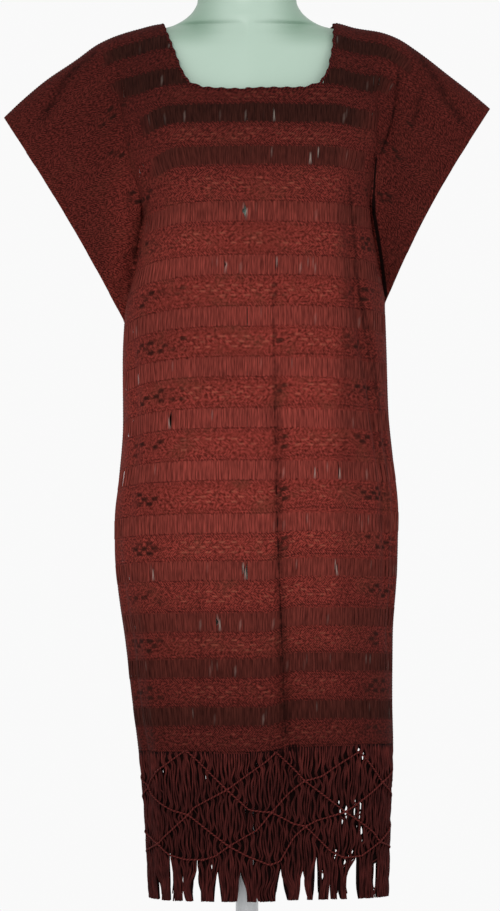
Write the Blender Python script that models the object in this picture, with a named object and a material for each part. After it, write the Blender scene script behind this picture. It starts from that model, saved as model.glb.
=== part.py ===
"""Huipil dress on a limbless dress form with a plain pole stand, as closed solids in metres.

The dress is two panels, front and back, each woven wide enough to make half of both
sleeves. They meet in seams along the shoulders and down the sides, and end in a fringe of
their own warp. Front is -Y, up is +Z, and the floor is at z = 0.

Every cloth point is a function of two measures on the panel: across, from -1 at the left
cuff or side seam through 0 at the centre to +1 at the right one, and fall, the height that
the cloth at the centre has dropped below the shoulder.
"""

import math

import bpy
import numpy as np

# Cloth, all lengths in metres
WALL = 0.0016
SEAM_GAP = 0.0003
SHOULDER_Z = 1.386
FRONT_RISE = 0.20
BACK_RISE = 0.10
ARMHOLE_FALL = 0.30
HEM_FALL = 0.803
FRINGE_FALL = 0.966
SLOPE_FADE = 0.26

# Sleeves, cut in one with the panels
SLEEVE_TIP_OUT = 0.2685
SLEEVE_START = 0.50
SLEEVE_BLEND = 0.70
LEFT_BOW, RIGHT_BOW = 0.0045, 0.0075
SLEEVE_ROLL = 0.055
RATE_STEP = 0.01
FLAP_POWER = 1.2
CUFF_CLOSING = 4
FRONT, BACK = -1, 1

# Rows and columns of each half panel
FRONT_COLUMNS, BACK_COLUMNS = 16, 14
NECK_CORNER_COLUMNS = (0.285, 0.338, 0.355, 0.368)
UPPER_ROWS, LOWER_ROWS = 11, 12
UPPER_POWER = 1.5

# One row for each level of the body, from the shoulder to the end of the fringe
BODY_COLUMNS = (
    "fall", "left", "right", "front", "back", "square", "left_sag", "right_sag", "lift"
)
BODY_SECTIONS = (
    (0.000, 0.1650, 0.1680, 0.110, 0.096, 2.2, 0.0000, 0.0000, 0.000),
    (0.080, 0.1600, 0.1640, 0.112, 0.101, 2.3, 0.0040, 0.0020, 0.000),
    (0.140, 0.1400, 0.1530, 0.113, 0.104, 2.4, 0.0120, 0.0060, 0.000),
    (0.200, 0.1200, 0.1420, 0.113, 0.105, 2.5, 0.0200, 0.0090, 0.000),
    (0.250, 0.1260, 0.1450, 0.111, 0.104, 2.5, 0.0260, 0.0110, 0.000),
    (0.300, 0.1350, 0.1515, 0.108, 0.103, 2.4, 0.0302, 0.0120, 0.001),
    (0.350, 0.1368, 0.1535, 0.106, 0.103, 2.4, 0.0260, 0.0110, 0.003),
    (0.420, 0.1364, 0.1555, 0.105, 0.104, 2.4, 0.0200, 0.0090, 0.004),
    (0.490, 0.1410, 0.1620, 0.106, 0.106, 2.4, 0.0140, 0.0080, 0.006),
    (0.540, 0.1455, 0.1665, 0.107, 0.108, 2.3, 0.0100, 0.0070, 0.007),
    (0.600, 0.1435, 0.1655, 0.106, 0.108, 2.3, 0.0070, 0.0060, 0.008),
    (0.680, 0.1335, 0.1605, 0.102, 0.104, 2.3, 0.0050, 0.0050, 0.008),
    (0.750, 0.1255, 0.1600, 0.098, 0.100, 2.3, 0.0040, 0.0040, 0.008),
    (0.803, 0.1190, 0.1610, 0.095, 0.097, 2.3, 0.0030, 0.0030, 0.008),
    (0.870, 0.1130, 0.1585, 0.092, 0.094, 2.3, 0.0020, 0.0020, 0.005),
    (0.966, 0.1080, 0.1560, 0.090, 0.092, 2.3, 0.0000, 0.0000, 0.002),
)

# The folded top edge, from the neck over the shoulder to the sleeve tip
SHOULDER_COLUMNS = ("out", "left_z", "right_z")
SHOULDER_LINE = (
    (0.0000, 1.3880, 1.3890),
    (0.0935, 1.3858, 1.3875),
    (0.1210, 1.3798, 1.3810),
    (0.1485, 1.3712, 1.3765),
    (0.1705, 1.3605, 1.3682),
    (0.1903, 1.3451, 1.3545),
    (0.2211, 1.3242, 1.3303),
    (0.2500, 1.3000, 1.3079),
    (0.2695, 1.2813, 1.2912),
)

# Half the depth of the sleeve between its front and back, by how far across it is
SLEEVE_COLUMNS = ("across", "half_depth")
SLEEVE_DEPTH = (
    (0.00, 0.110),
    (0.45, 0.084),
    (0.60, 0.062),
    (0.75, 0.046),
    (0.90, 0.034),
    (1.00, 0.028),
)

# The neck opening: how far out the edge is at each depth below the shoulder
NECK_COLUMNS = ("drop", "left", "right")
FRONT_NECK = (
    (0.0000, 0.0945, 0.0980),
    (0.0290, 0.0830, 0.0960),
    (0.0550, 0.0732, 0.0905),
    (0.0705, 0.0635, 0.0810),
    (0.0765, 0.0470, 0.0620),
    (0.0790, 0.0000, 0.0000),
)
BACK_NECK = (
    (0.0000, 0.0945, 0.0980),
    (0.0160, 0.0830, 0.0880),
    (0.0290, 0.0640, 0.0680),
    (0.0350, 0.0360, 0.0380),
    (0.0360, 0.0000, 0.0000),
)

# The largest folds: a ridge stands out of the cloth, a trough has a negative height
FOLD_COLUMNS = (
    "top_across", "low_across", "top_fall", "low_fall", "half_width", "top_height", "low_height"
)
FRONT_FOLDS = (
    (0.085, 0.141, 0.26, 0.84, 0.045, -0.0020, -0.0085),
    (0.175, 0.235, 0.30, 0.84, 0.060, 0.0010, 0.0045),
    (0.470, 0.610, 0.15, 0.37, 0.055, -0.0035, -0.0065),
    (0.610, 0.740, 0.35, 0.47, 0.055, -0.0060, -0.0040),
    (0.560, 0.690, 0.20, 0.40, 0.060, 0.0020, 0.0040),
    (0.700, 0.730, 0.40, 0.64, 0.045, -0.0045, -0.0040),
    (0.840, 0.850, 0.42, 0.70, 0.045, -0.0035, -0.0045),
    (0.350, 0.330, 0.12, 0.27, 0.200, 0.0060, 0.0040),
    (-0.350, -0.330, 0.12, 0.27, 0.200, 0.0060, 0.0040),
    (0.430, 0.400, 0.55, 0.84, 0.070, -0.0010, -0.0035),
    (-0.430, -0.460, 0.27, 0.45, 0.055, -0.0025, -0.0010),
    (-0.720, -0.640, 0.34, 0.60, 0.060, -0.0035, -0.0015),
    (-0.300, -0.250, 0.52, 0.84, 0.080, -0.0010, -0.0040),
    (-0.600, -0.560, 0.50, 0.84, 0.070, 0.0010, 0.0040),
    (-0.820, -0.780, 0.55, 0.84, 0.060, -0.0020, -0.0050),
)
BACK_FOLDS = (
    (-0.060, -0.100, 0.22, 0.84, 0.055, -0.0020, -0.0080),
    (0.060, 0.020, 0.30, 0.84, 0.065, 0.0010, 0.0045),
    (0.340, 0.420, 0.18, 0.84, 0.060, -0.0020, -0.0070),
    (0.520, 0.560, 0.40, 0.84, 0.060, 0.0015, 0.0045),
    (0.700, 0.760, 0.24, 0.62, 0.055, -0.0050, -0.0030),
    (-0.360, -0.300, 0.36, 0.84, 0.060, -0.0020, -0.0065),
    (-0.500, -0.560, 0.16, 0.52, 0.060, -0.0050, -0.0020),
    (-0.700, -0.640, 0.40, 0.84, 0.065, 0.0010, 0.0040),
    (-0.840, -0.800, 0.30, 0.84, 0.050, -0.0035, -0.0050),
)
FOLD_END = 0.05
SEAM_FLAT_FROM = 0.90
FRINGE_FOLD_LOSS = 0.6

# How far the fold under each arm is pinched in, as a share of the depth there
LEFT_PINCH, RIGHT_PINCH = 0.45, 0.62
PINCH_HALF_WIDTH = 0.05
PINCH_GROWS, PINCH_ENDS = (0.25, 0.55), (0.90, 1.00)

# Where the cloth lies higher on the right of the crease down the front
LIFT_FROM, LIFT_TO = 0.05, 0.20

# Fringe, made of the panel's own warp
STRIP_HEIGHT = 0.006
STRANDS = 50
STRANDS_IN_LOCK = 5
STRAND_SHARE = 0.60
LOCK_FALL = 0.905
LOCK_GATHER = 0.66
FRINGE_WALL = 0.0016
LENGTH_SWAY = 0.0025
SWAY_TURN = 2.4
HEM_SAMPLES = 401
NORMAL_STEP = 0.002

# Knotted net that lies over the fringe
NET_PITCH = 0.0965
NET_SHIFT = 0.013
NET_FIRST, NET_LAST = -2, 1
NET_LEVELS = (0.806, 0.842, 0.869, 0.902, 0.918)
KNOT_HALF = 0.0026
CORD_HALF = 0.0011
NET_CLEAR = 0.0034
LEG_STEPS = 3
KNOT_THICK = 0.0024
CORD_THICK = 0.0019

# Rolled edging round the neck
EDGING_RADIUS = 0.0016
EDGING_WAVE = 0.0006
EDGING_WAVE_LENGTH = 0.0145
EDGING_SIDES = 6
EDGING_SEAT = 0.0007
EDGING_TRIM = 0.0028

# Dress form
FORM_COLUMNS = ("z", "half_width", "front", "back", "square")
FORM_SECTIONS = (
    (1.4500, 0.0300, 0.0300, 0.0310, 2.0),
    (1.4480, 0.0440, 0.0440, 0.0450, 2.0),
    (1.4400, 0.0520, 0.0510, 0.0520, 2.0),
    (1.4100, 0.0550, 0.0530, 0.0540, 2.0),
    (1.4000, 0.0600, 0.0550, 0.0550, 2.0),
    (1.3935, 0.0665, 0.0570, 0.0560, 1.9),
    (1.3885, 0.0740, 0.0580, 0.0570, 1.7),
    (1.3840, 0.0840, 0.0590, 0.0580, 1.3),
    (1.3770, 0.1180, 0.0610, 0.0590, 1.15),
    (1.3700, 0.1475, 0.0640, 0.0610, 1.2),
    (1.3600, 0.1580, 0.0680, 0.0640, 1.35),
    (1.3450, 0.1600, 0.0730, 0.0690, 1.5),
    (1.3250, 0.1560, 0.0790, 0.0740, 1.7),
    (1.3000, 0.1480, 0.0860, 0.0800, 1.9),
    (1.2700, 0.1350, 0.0930, 0.0860, 2.1),
    (1.2400, 0.1220, 0.0990, 0.0900, 2.3),
    (1.2100, 0.1130, 0.1030, 0.0920, 2.4),
    (1.1800, 0.1100, 0.1040, 0.0920, 2.4),
    (1.1300, 0.1060, 0.0980, 0.0880, 2.3),
    (1.0500, 0.1000, 0.0870, 0.0820, 2.2),
    (0.9900, 0.0990, 0.0850, 0.0830, 2.2),
    (0.9200, 0.1080, 0.0880, 0.0910, 2.2),
    (0.8400, 0.1190, 0.0910, 0.0980, 2.3),
    (0.7800, 0.1200, 0.0900, 0.0980, 2.3),
    (0.7200, 0.1140, 0.0860, 0.0930, 2.3),
    (0.7050, 0.1060, 0.0800, 0.0860, 2.3),
    (0.7000, 0.0930, 0.0700, 0.0750, 2.3),
)
FORM_SIDES = 28

# Stand
POLE_RADIUS = 0.0125
POLE_SIDES = 24
BASE_RADIUS = 0.160
BASE_HEIGHT = 0.016
BASE_EDGE = 0.003
COLLAR_RADIUS = 0.030
COLLAR_HEIGHT = 0.022
COLLAR_NECK = 0.0185
COLLAR_WALL = 0.009
BASE_SIDES = 40

MADDER = (0.23, 0.035, 0.03, 1.0)
DEEP_MADDER = (0.12, 0.018, 0.018, 1.0)
CORD_RED = (0.28, 0.045, 0.035, 1.0)
FORM_GREEN = (0.45, 0.62, 0.52, 1.0)
STEEL = (0.55, 0.56, 0.56, 1.0)


def clear_scene():
    """Remove what a new file holds."""
    for obj in list(bpy.data.objects):
        bpy.data.objects.remove(obj)


def material(name, colour, roughness, metallic=0.0):
    """A plain Principled material."""
    made = bpy.data.materials.new(name)
    made.use_nodes = True
    shader = made.node_tree.nodes["Principled BSDF"]
    shader.inputs["Base Color"].default_value = colour
    shader.inputs["Roughness"].default_value = roughness
    shader.inputs["Metallic"].default_value = metallic
    return made


def smooth_curve(names, rows, column, at):
    """Value of a column at some values of the first one, through a curve with no overshoot.

    The slope at each row is the harmonic mean of its two neighbours' slopes, or 0 where they
    differ in sign, and a cubic joins each pair of rows.
    """
    table = np.array(rows, float)
    known = table[:, 0]
    value = table[:, names.index(column)]
    step = np.diff(known)
    rate = np.diff(value) / step
    slope = np.zeros_like(value)
    same = rate[1:] * rate[:-1] > 0
    safe = np.where(same, rate[1:] + rate[:-1], 1.0)
    slope[1:-1] = np.where(same, 2 * rate[1:] * rate[:-1] / safe, 0.0)
    slope[0], slope[-1] = rate[0], rate[-1]
    at = np.clip(at, known[0], known[-1])
    row = np.clip(np.searchsorted(known, at, side="right") - 1, 0, len(step) - 1)
    part = (at - known[row]) / step[row]
    low, high = value[row], value[row + 1]
    bend_low, bend_high = slope[row] * step[row], slope[row + 1] * step[row]
    return (
        low * (1 + 2 * part) * (1 - part) ** 2
        + bend_low * part * (1 - part) ** 2
        + high * part**2 * (3 - 2 * part)
        - bend_high * part**2 * (1 - part)
    )


def ramp(value, low, high):
    """0 up to low, 1 from high, and a smooth rise between."""
    part = np.clip((value - low) / (high - low), 0.0, 1.0)
    return part**2 * (3 - 2 * part)


def arc_rise(part):
    """Height of a quarter circle: 0 at 0, with an upright start, and 1 from 1 on."""
    return np.sqrt(1 - (1 - np.clip(part, 0.0, 1.0)) ** 2)


def body(column, fall):
    """A column of the body's sections at a fall."""
    return smooth_curve(BODY_COLUMNS, BODY_SECTIONS, column, fall)


def by_side(across, left, right):
    """The left value where the cloth is left of the centre, the right one elsewhere."""
    return np.where(across < 0, left, right)


def shoulder_z(across, out):
    """Height of the folded top edge at a distance from the centre."""
    left = smooth_curve(SHOULDER_COLUMNS, SHOULDER_LINE, "left_z", out)
    right = smooth_curve(SHOULDER_COLUMNS, SHOULDER_LINE, "right_z", out)
    return by_side(across, left, right)


def body_surface(across, fall, face):
    """(out, y, z) of the cloth where it hangs round the body.

    Each level is a superellipse, turned through a right angle from the centre to the side
    seam. Its depth grows from nothing along the shoulder as a quarter circle does.
    """
    share = np.abs(across)
    turn = share * math.pi / 2
    power = 2 / body("square", fall)
    out = by_side(across, body("left", fall), body("right", fall)) * np.sin(turn) ** power
    if face == FRONT:
        depth = body("front", fall) * arc_rise(fall / FRONT_RISE)
    else:
        depth = body("back", fall) * arc_rise(fall / BACK_RISE)
    y = face * depth * np.clip(np.cos(turn), 0, 1) ** power
    slope = (SHOULDER_Z - shoulder_z(across, out)) * (1 - ramp(fall, 0.0, SLOPE_FADE))
    sag = by_side(across, body("left_sag", fall), body("right_sag", fall)) * share**2
    lift = body("lift", fall) * ramp(across, LIFT_FROM, LIFT_TO)
    if face == BACK:
        lift = body("lift", fall) * ramp(across, 1 - LIFT_TO, 1.0)
    return out, y, SHOULDER_Z - fall - slope - sag + lift


def sleeve_surface(across, fall, face):
    """(out, y, z) of the cloth in the sleeve.

    Each level runs beside the top edge, moved along the cuff, which is a line from the
    sleeve tip to the underarm that bows in a little. The top edge leaves the body at its
    own rate and widens from there to the tip.
    """
    share = np.abs(across)
    down = np.clip(fall / ARMHOLE_FALL, 0.0, 1.0)
    side = np.where(across < 0, -1.0, 1.0)
    start = body_surface(side * SLEEVE_START, np.zeros_like(side), face)[0]
    before = body_surface(side * (SLEEVE_START - RATE_STEP), np.zeros_like(side), face)[0]
    rate = (start - before) / RATE_STEP
    past = np.clip(share - SLEEVE_START, 0.0, None)
    widen = (SLEEVE_TIP_OUT - start) / (1 - SLEEVE_START) ** 2 - rate / (1 - SLEEVE_START)
    top_out = start + rate * (share - SLEEVE_START) + widen * past**2
    ends = body_surface(side, np.full_like(side, ARMHOLE_FALL), face)
    tip_z = shoulder_z(across, np.full_like(side, SLEEVE_TIP_OUT))
    bow = by_side(across, LEFT_BOW, RIGHT_BOW) * np.sin(math.pi * down)
    out = top_out + down * (ends[0] - SLEEVE_TIP_OUT) - bow
    z = shoulder_z(across, top_out) + down * (ends[2] - tip_z)
    half_depth = smooth_curve(SLEEVE_COLUMNS, SLEEVE_DEPTH, "half_depth", share)
    y = face * half_depth * arc_rise(fall / SLEEVE_ROLL) * (1 - down**CUFF_CLOSING)
    return out, y, z


def cloth_points(across, fall, face):
    """Middle of the cloth, with the body and the sleeve joined along the underarm fold."""
    share = np.abs(across)
    down = np.clip(fall / ARMHOLE_FALL, 0.0, 1.0)
    start = SLEEVE_START + (1 - SLEEVE_START) * down**FLAP_POWER
    width = np.maximum(SLEEVE_BLEND * (1 - start), 1e-6)
    weight = ramp((share - start) / width, 0.0, 1.0) * (down < 1)
    from_body = body_surface(across, fall, face)
    from_sleeve = sleeve_surface(across, fall, face)
    out, y, z = (a * (1 - weight) + b * weight for a, b in zip(from_body, from_sleeve))
    window = ramp(down, *PINCH_GROWS) * (1 - ramp(down, *PINCH_ENDS))
    pinch = by_side(across, LEFT_PINCH, RIGHT_PINCH) * window
    y = y * (1 - pinch * np.exp(-(((share - start) / PINCH_HALF_WIDTH) ** 2)))
    y = y + face * SEAM_GAP / 2
    return np.stack([by_side(across, -out, out), y, z], axis=-1)


def surface_normals(points, face):
    """Unit normals of a grid of points, rows down and columns across, pointing out."""
    down, across = np.gradient(points, axis=0), np.gradient(points, axis=1)
    normal = np.cross(across, down) * face
    return normal / np.linalg.norm(normal, axis=-1, keepdims=True)


def fold_height(across, fall, folds):
    """Sum of the folds: each one a bell across, that fades in and out along its length."""
    height = np.zeros_like(across)
    for top, low, top_fall, low_fall, half_width, top_height, low_height in folds:
        part = np.clip((fall - top_fall) / (low_fall - top_fall), 0.0, 1.0)
        middle = top + (low - top) * part
        size = top_height + (low_height - top_height) * part
        fade = ramp(fall, top_fall - FOLD_END, top_fall + FOLD_END)
        fade = fade * (1 - ramp(fall, low_fall - FOLD_END, low_fall + FOLD_END))
        height += size * fade * np.exp(-(((across - middle) / half_width) ** 2))
    seam = 1 - ramp(np.abs(across), SEAM_FLAT_FROM, 1.0)
    return height * seam


def folded_cloth(across, fall, face):
    """Points and normals of the middle of the folded cloth.

    Along a seam the normal lies in the seam's own plane, so that the two walls don't cross.
    """
    points = cloth_points(across, fall, face)
    folds = FRONT_FOLDS if face == FRONT else BACK_FOLDS
    points = points + surface_normals(points, face) * fold_height(across, fall, folds)[..., None]
    normal = surface_normals(points, face)
    seam = (fall == 0) | ((np.abs(across) == 1) & (fall >= ARMHOLE_FALL))
    normal[..., 1] = np.where(seam, 0.0, normal[..., 1])
    return points, normal / np.linalg.norm(normal, axis=-1, keepdims=True)


def neck_fall(across, face):
    """Fall of the neck edge at each column, 0 outside the neck opening."""
    rows = FRONT_NECK if face == FRONT else BACK_NECK
    table = np.array(rows)[::-1]
    out = body_surface(across, np.zeros_like(across), face)[0]
    left = np.interp(out, table[:, 1], table[:, 0])
    right = np.interp(out, table[:, 2], table[:, 0])
    return by_side(across, left, right)


def panel_grid(face, columns, upper_rows, lower_rows):
    """Grids of across and fall: upper rows from the neck edge, lower rows from the underarm."""
    share = np.unique(np.append(np.linspace(0.0, 1.0, columns + 1), NECK_CORNER_COLUMNS))
    across = np.concatenate([-share[:0:-1], share])
    start = neck_fall(across, face)
    upper = np.linspace(0.0, 1.0, upper_rows + 1) ** UPPER_POWER
    lower = np.linspace(ARMHOLE_FALL, HEM_FALL, lower_rows + 1)[1:]
    top = start + (ARMHOLE_FALL - start) * upper[:, None]
    fall = np.concatenate([top, np.repeat(lower[:, None], len(across), axis=1)])
    return np.broadcast_to(across, fall.shape).copy(), fall


def closed_wall(outer, inner, face):
    """Points and faces between two grids: two skins, and a strip round all four edges."""
    rows, columns = outer.shape[:2]
    count = rows * columns
    points = np.concatenate([outer.reshape(-1, 3), inner.reshape(-1, 3)])
    index = np.arange(count).reshape(rows, columns)
    quads = np.stack([index[:-1, :-1], index[1:, :-1], index[1:, 1:], index[:-1, 1:]], axis=-1)
    quads = quads.reshape(-1, 4)
    rim = np.concatenate([index[0, :-1], index[:-1, -1], index[-1, :0:-1], index[:0:-1, 0]])
    after = np.roll(rim, -1)
    strip = np.stack([rim, after, after + count, rim + count], axis=-1)
    faces = np.concatenate([quads, quads[:, ::-1] + count, strip])
    if face == BACK:
        faces = faces[:, ::-1]
    return points.tolist(), faces.tolist()


def add_object(name, points, faces, made):
    """A mesh object in the scene, shaded smooth."""
    mesh = bpy.data.meshes.new(name)
    mesh.from_pydata(points, [], faces)
    mesh.materials.append(made)
    mesh.shade_smooth()
    mesh.set_sharp_from_angle(angle=math.radians(50))
    obj = bpy.data.objects.new(name, mesh)
    bpy.context.scene.collection.objects.link(obj)
    return obj


def panel(name, face, columns, made):
    """The front or the back panel, with its half of each sleeve."""
    across, fall = panel_grid(face, columns, UPPER_ROWS, LOWER_ROWS)
    middle, normal = folded_cloth(across, fall, face)
    outer = middle + normal * WALL / 2
    inner = middle - normal * WALL / 2
    return add_object(name, *closed_wall(outer, inner, face), made)


def hem_stations(face, shares, fall):
    """Points, normals and the length of the hem, at shares of that length.

    Each station has its own fall, so the same shares serve the levels of the fringe.
    """
    across = np.linspace(-1.0, 1.0, HEM_SAMPLES)
    path = cloth_points(across, np.full_like(across, HEM_FALL), face)
    length = np.concatenate([[0], np.cumsum(np.linalg.norm(np.diff(path, axis=0), axis=1))])
    at = np.interp(shares, length / length[-1], across)
    beside = cloth_points(np.clip(at + NORMAL_STEP, -1, 1), fall, face)
    beside = beside - cloth_points(np.clip(at - NORMAL_STEP, -1, 1), fall, face)
    below = cloth_points(at, fall + NORMAL_STEP, face) - cloth_points(at, fall - NORMAL_STEP, face)
    normal = np.cross(beside, below) * face
    normal = normal / np.linalg.norm(normal, axis=-1, keepdims=True)
    folds = FRONT_FOLDS if face == FRONT else BACK_FOLDS
    height = fold_height(at, np.minimum(fall, HEM_FALL), folds)
    height = height * (1 - FRINGE_FOLD_LOSS * ramp(fall, HEM_FALL, LOCK_FALL))
    return cloth_points(at, fall, face) + normal * height[:, None], normal, length[-1]


def hem_edge(face, columns, shares, below):
    """Points and normals on the panel's own hem, moved down the cloth by a distance."""
    across, fall = panel_grid(face, columns, UPPER_ROWS, LOWER_ROWS)
    middle, normal = folded_cloth(across, fall, face)
    edge, down = middle[-1], middle[-1] - middle[-2]
    down = down / np.linalg.norm(down, axis=1, keepdims=True)
    length = np.concatenate([[0], np.cumsum(np.linalg.norm(np.diff(edge, axis=0), axis=1))])
    rows = [
        np.stack([np.interp(shares * length[-1], length, row[:, k]) for k in range(3)], axis=1)
        for row in (edge, down, normal[-1])
    ]
    return rows[0] + rows[1] * below, rows[2]


def fringe(name, face, columns, made):
    """A narrow strip under the hem with the warp strands hanging from it, as one solid.

    Station pairs along the strip are the two edges of each strand. The strip's underside is
    closed between the strands, and each strand is a four-sided tube down to its own end.
    """
    pitch = 1.0 / STRANDS
    centre = (np.arange(STRANDS) + 0.5) * pitch
    half = STRAND_SHARE * pitch / 2
    edges = np.stack([centre - half, centre + half], axis=1).reshape(-1)
    stations = np.concatenate([[0.0], edges, [1.0]])
    lock = (np.arange(STRANDS) // STRANDS_IN_LOCK + 0.5) * STRANDS_IN_LOCK * pitch
    gathered = lock + (centre - lock) * LOCK_GATHER
    taper = half * LOCK_GATHER
    ends = np.stack([gathered - taper, gathered + taper], axis=1).reshape(-1)
    sway = LENGTH_SWAY * np.sin(np.arange(STRANDS) * SWAY_TURN)
    end_fall = np.repeat(FRINGE_FALL - np.abs(sway), 2)
    rings = [
        hem_edge(face, columns, stations, SEAM_GAP),
        hem_edge(face, columns, stations, SEAM_GAP + STRIP_HEIGHT),
        hem_stations(face, edges, np.full_like(edges, LOCK_FALL))[:2],
        hem_stations(face, ends, end_fall)[:2],
    ]
    points = []
    first = []
    for middle, normal in rings:
        first.append(len(points))
        points += (middle + normal * FRINGE_WALL / 2).tolist()
        points += (middle - normal * FRINGE_WALL / 2).tolist()
    count = len(stations)
    tall = 2 * STRANDS
    faces = []
    top, low = first[0], first[1]
    for i in range(count - 1):
        faces.append((top + i, low + i, low + i + 1, top + i + 1))
        faces.append((top + count + i + 1, low + count + i + 1, low + count + i, top + count + i))
        faces.append((top + count + i, top + i, top + i + 1, top + count + i + 1))
        if i % 2 == 0:
            faces.append((low + i, low + count + i, low + count + i + 1, low + i + 1))
    last = count - 1
    faces.append((top, top + count, low + count, low))
    faces.append((top + count + last, top + last, low + last, low + count + last))
    for strand in range(STRANDS):
        left = 2 * strand
        levels = [
            (low + 1 + left, low + 2 + left, low + count + 2 + left, low + count + 1 + left)
        ]
        for start in first[2:]:
            levels.append(
                (start + left, start + left + 1, start + tall + left + 1, start + tall + left)
            )
        for upper, lower in zip(levels, levels[1:]):
            for side in range(4):
                after = (side + 1) % 4
                faces.append((upper[side], lower[side], lower[after], upper[after]))
        faces.append(levels[-1][::-1])
    if face == BACK:
        faces = [quad[::-1] for quad in faces]
    return add_object(name, points, faces, made)


def tube(path, side_way, radius, sides):
    """Points and faces of a closed tube along a path.

    side_way holds one vector for each point, which the tube's cross-section starts from.
    """
    along = np.gradient(path, axis=0)
    along = along / np.linalg.norm(along, axis=1, keepdims=True)
    first = side_way - along * np.sum(side_way * along, axis=1, keepdims=True)
    first = first / np.linalg.norm(first, axis=1, keepdims=True)
    second = np.cross(along, first)
    angle = np.arange(sides) * 2 * math.pi / sides
    ring = first[:, None] * np.cos(angle)[:, None] + second[:, None] * np.sin(angle)[:, None]
    points = (path[:, None] + radius * ring).reshape(-1, 3)
    faces = []
    for row in range(len(path) - 1):
        for side in range(sides):
            after = (side + 1) % sides
            near, far = row * sides, (row + 1) * sides
            faces.append((near + side, near + after, far + after, far + side))
    faces.append(tuple(range(sides))[::-1])
    faces.append(tuple(range((len(path) - 1) * sides, len(path) * sides)))
    return points.tolist(), faces


def net_points(face, arcs, falls, thick):
    """Inner and outer points of the net, at arc lengths from the centre of the panel."""
    length = hem_stations(face, np.array([0.5]), np.array([HEM_FALL]))[2]
    middle, normal, _ = hem_stations(face, 0.5 + np.array(arcs) / length, np.array(falls))
    inner = middle + normal * NET_CLEAR
    return inner.tolist(), (inner + normal * thick).tolist()


def fringe_net(name, face, made):
    """Cords that cross in diamonds over the fringe, with a square knot at each crossing.

    A knot has four corners: left, low, right and high. The cord between two knots joins the
    slanting edges that face each other, and is thinner on the way.
    """
    knots = {}
    for level, fall in enumerate(NET_LEVELS):
        odd = level % 2
        for column in range(2 * NET_FIRST + odd, 2 * NET_LAST + odd + 1, 2):
            knots[column, level] = (NET_SHIFT + column * NET_PITCH / 2, fall)
    points, faces, corners = [], [], {}

    def add(arcs, falls, thick):
        """Store inner and outer points, and give the numbers of both."""
        inner, outer = net_points(face, arcs, falls, thick)
        start = len(points)
        points.extend(inner + outer)
        return [(start + i, start + len(arcs) + i) for i in range(len(arcs))]

    for key, (arc, fall) in knots.items():
        arcs = [arc - KNOT_HALF, arc, arc + KNOT_HALF, arc]
        falls = [fall, fall + KNOT_HALF, fall, fall - KNOT_HALF]
        left, low, right, high = add(arcs, falls, KNOT_THICK)
        corners[key] = (left, low, right, high)
        faces.append((left[1], low[1], right[1], high[1]))
        faces.append((high[0], right[0], low[0], left[0]))
    for key, (arc, fall) in knots.items():
        column, level = key
        for way, edge, facing in ((1, (1, 2), (0, 3)), (-1, (0, 1), (3, 2))):
            below = (column + way, level + 1)
            near = [corners[key][k] for k in edge]
            if below not in knots:
                faces.append((near[0][1], near[0][0], near[1][0], near[1][1]))
                continue
            far = [corners[below][k] for k in facing]
            end_arc, end_fall = knots[below]
            leg = np.array([end_arc - arc, end_fall - fall])
            side = np.array([-leg[1], leg[0]]) / np.linalg.norm(leg) * CORD_HALF
            rows = [near]
            for step in range(1, LEG_STEPS):
                middle = np.array([arc, fall]) + leg * step / LEG_STEPS
                pair = np.stack([middle + side, middle - side])
                rows.append(add(pair[:, 0], pair[:, 1], CORD_THICK))
            rows.append(far)
            for a, b in zip(rows, rows[1:]):
                faces.append((a[0][1], b[0][1], b[1][1], a[1][1]))
                faces.append((a[1][0], b[1][0], b[0][0], a[0][0]))
                faces.append((a[0][0], b[0][0], b[0][1], a[0][1]))
                faces.append((a[1][1], b[1][1], b[1][0], a[1][0]))
        for way, edge in ((1, (2, 3)), (-1, (3, 0))):
            if (column + way, level - 1) not in knots:
                near = [corners[key][k] for k in edge]
                faces.append((near[0][1], near[0][0], near[1][0], near[1][1]))
    if face == BACK:
        faces = [corner[::-1] for corner in faces]
    return add_object(name, points, faces, made)


def neck_edging(name, face, columns, made):
    """A thin rolled edge that stands on the neck edge of a panel, with small even waves."""
    across, fall = panel_grid(face, columns, UPPER_ROWS, LOWER_ROWS)
    middle, normal = folded_cloth(across, fall, face)
    inside = np.where(fall[0] > 0)[0]
    span = slice(inside[0] - 1, inside[-1] + 2)
    edge = middle[0, span]
    length = np.concatenate([[0], np.cumsum(np.linalg.norm(np.diff(edge, axis=0), axis=1))])
    corners = length.copy()
    corners[0], corners[-1] = EDGING_TRIM, length[-1] - EDGING_TRIM
    at = np.sort(np.append(corners, (corners[1:] + corners[:-1]) / 2))
    path = np.stack([np.interp(at, length, edge[:, k]) for k in range(3)], axis=1)
    facing = np.stack([np.interp(at, length, normal[0, span, k]) for k in range(3)], axis=1)
    along = np.gradient(path, axis=0)
    along = along / np.linalg.norm(along, axis=1, keepdims=True)
    away = np.cross(facing, along) * -face
    away = away / np.linalg.norm(away, axis=1, keepdims=True)
    wave = EDGING_WAVE * np.sin(at * 2 * math.pi / EDGING_WAVE_LENGTH)
    path = path + away * (EDGING_SEAT + EDGING_RADIUS) + facing * wave[:, None]
    return add_object(name, *tube(path, away, EDGING_RADIUS, EDGING_SIDES), made)


def ring_points(half_width, front, back, square, z, sides):
    """Points round a superellipse whose front and back differ in depth."""
    turn = np.arange(sides) * 2 * math.pi / sides
    across, deep = np.cos(turn), np.sin(turn)
    x = half_width * np.sign(across) * np.abs(across) ** (2 / square)
    y = np.where(deep < 0, front, back) * np.sign(deep) * np.abs(deep) ** (2 / square)
    return np.stack([x, y, np.full(sides, z)], axis=1)


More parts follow.
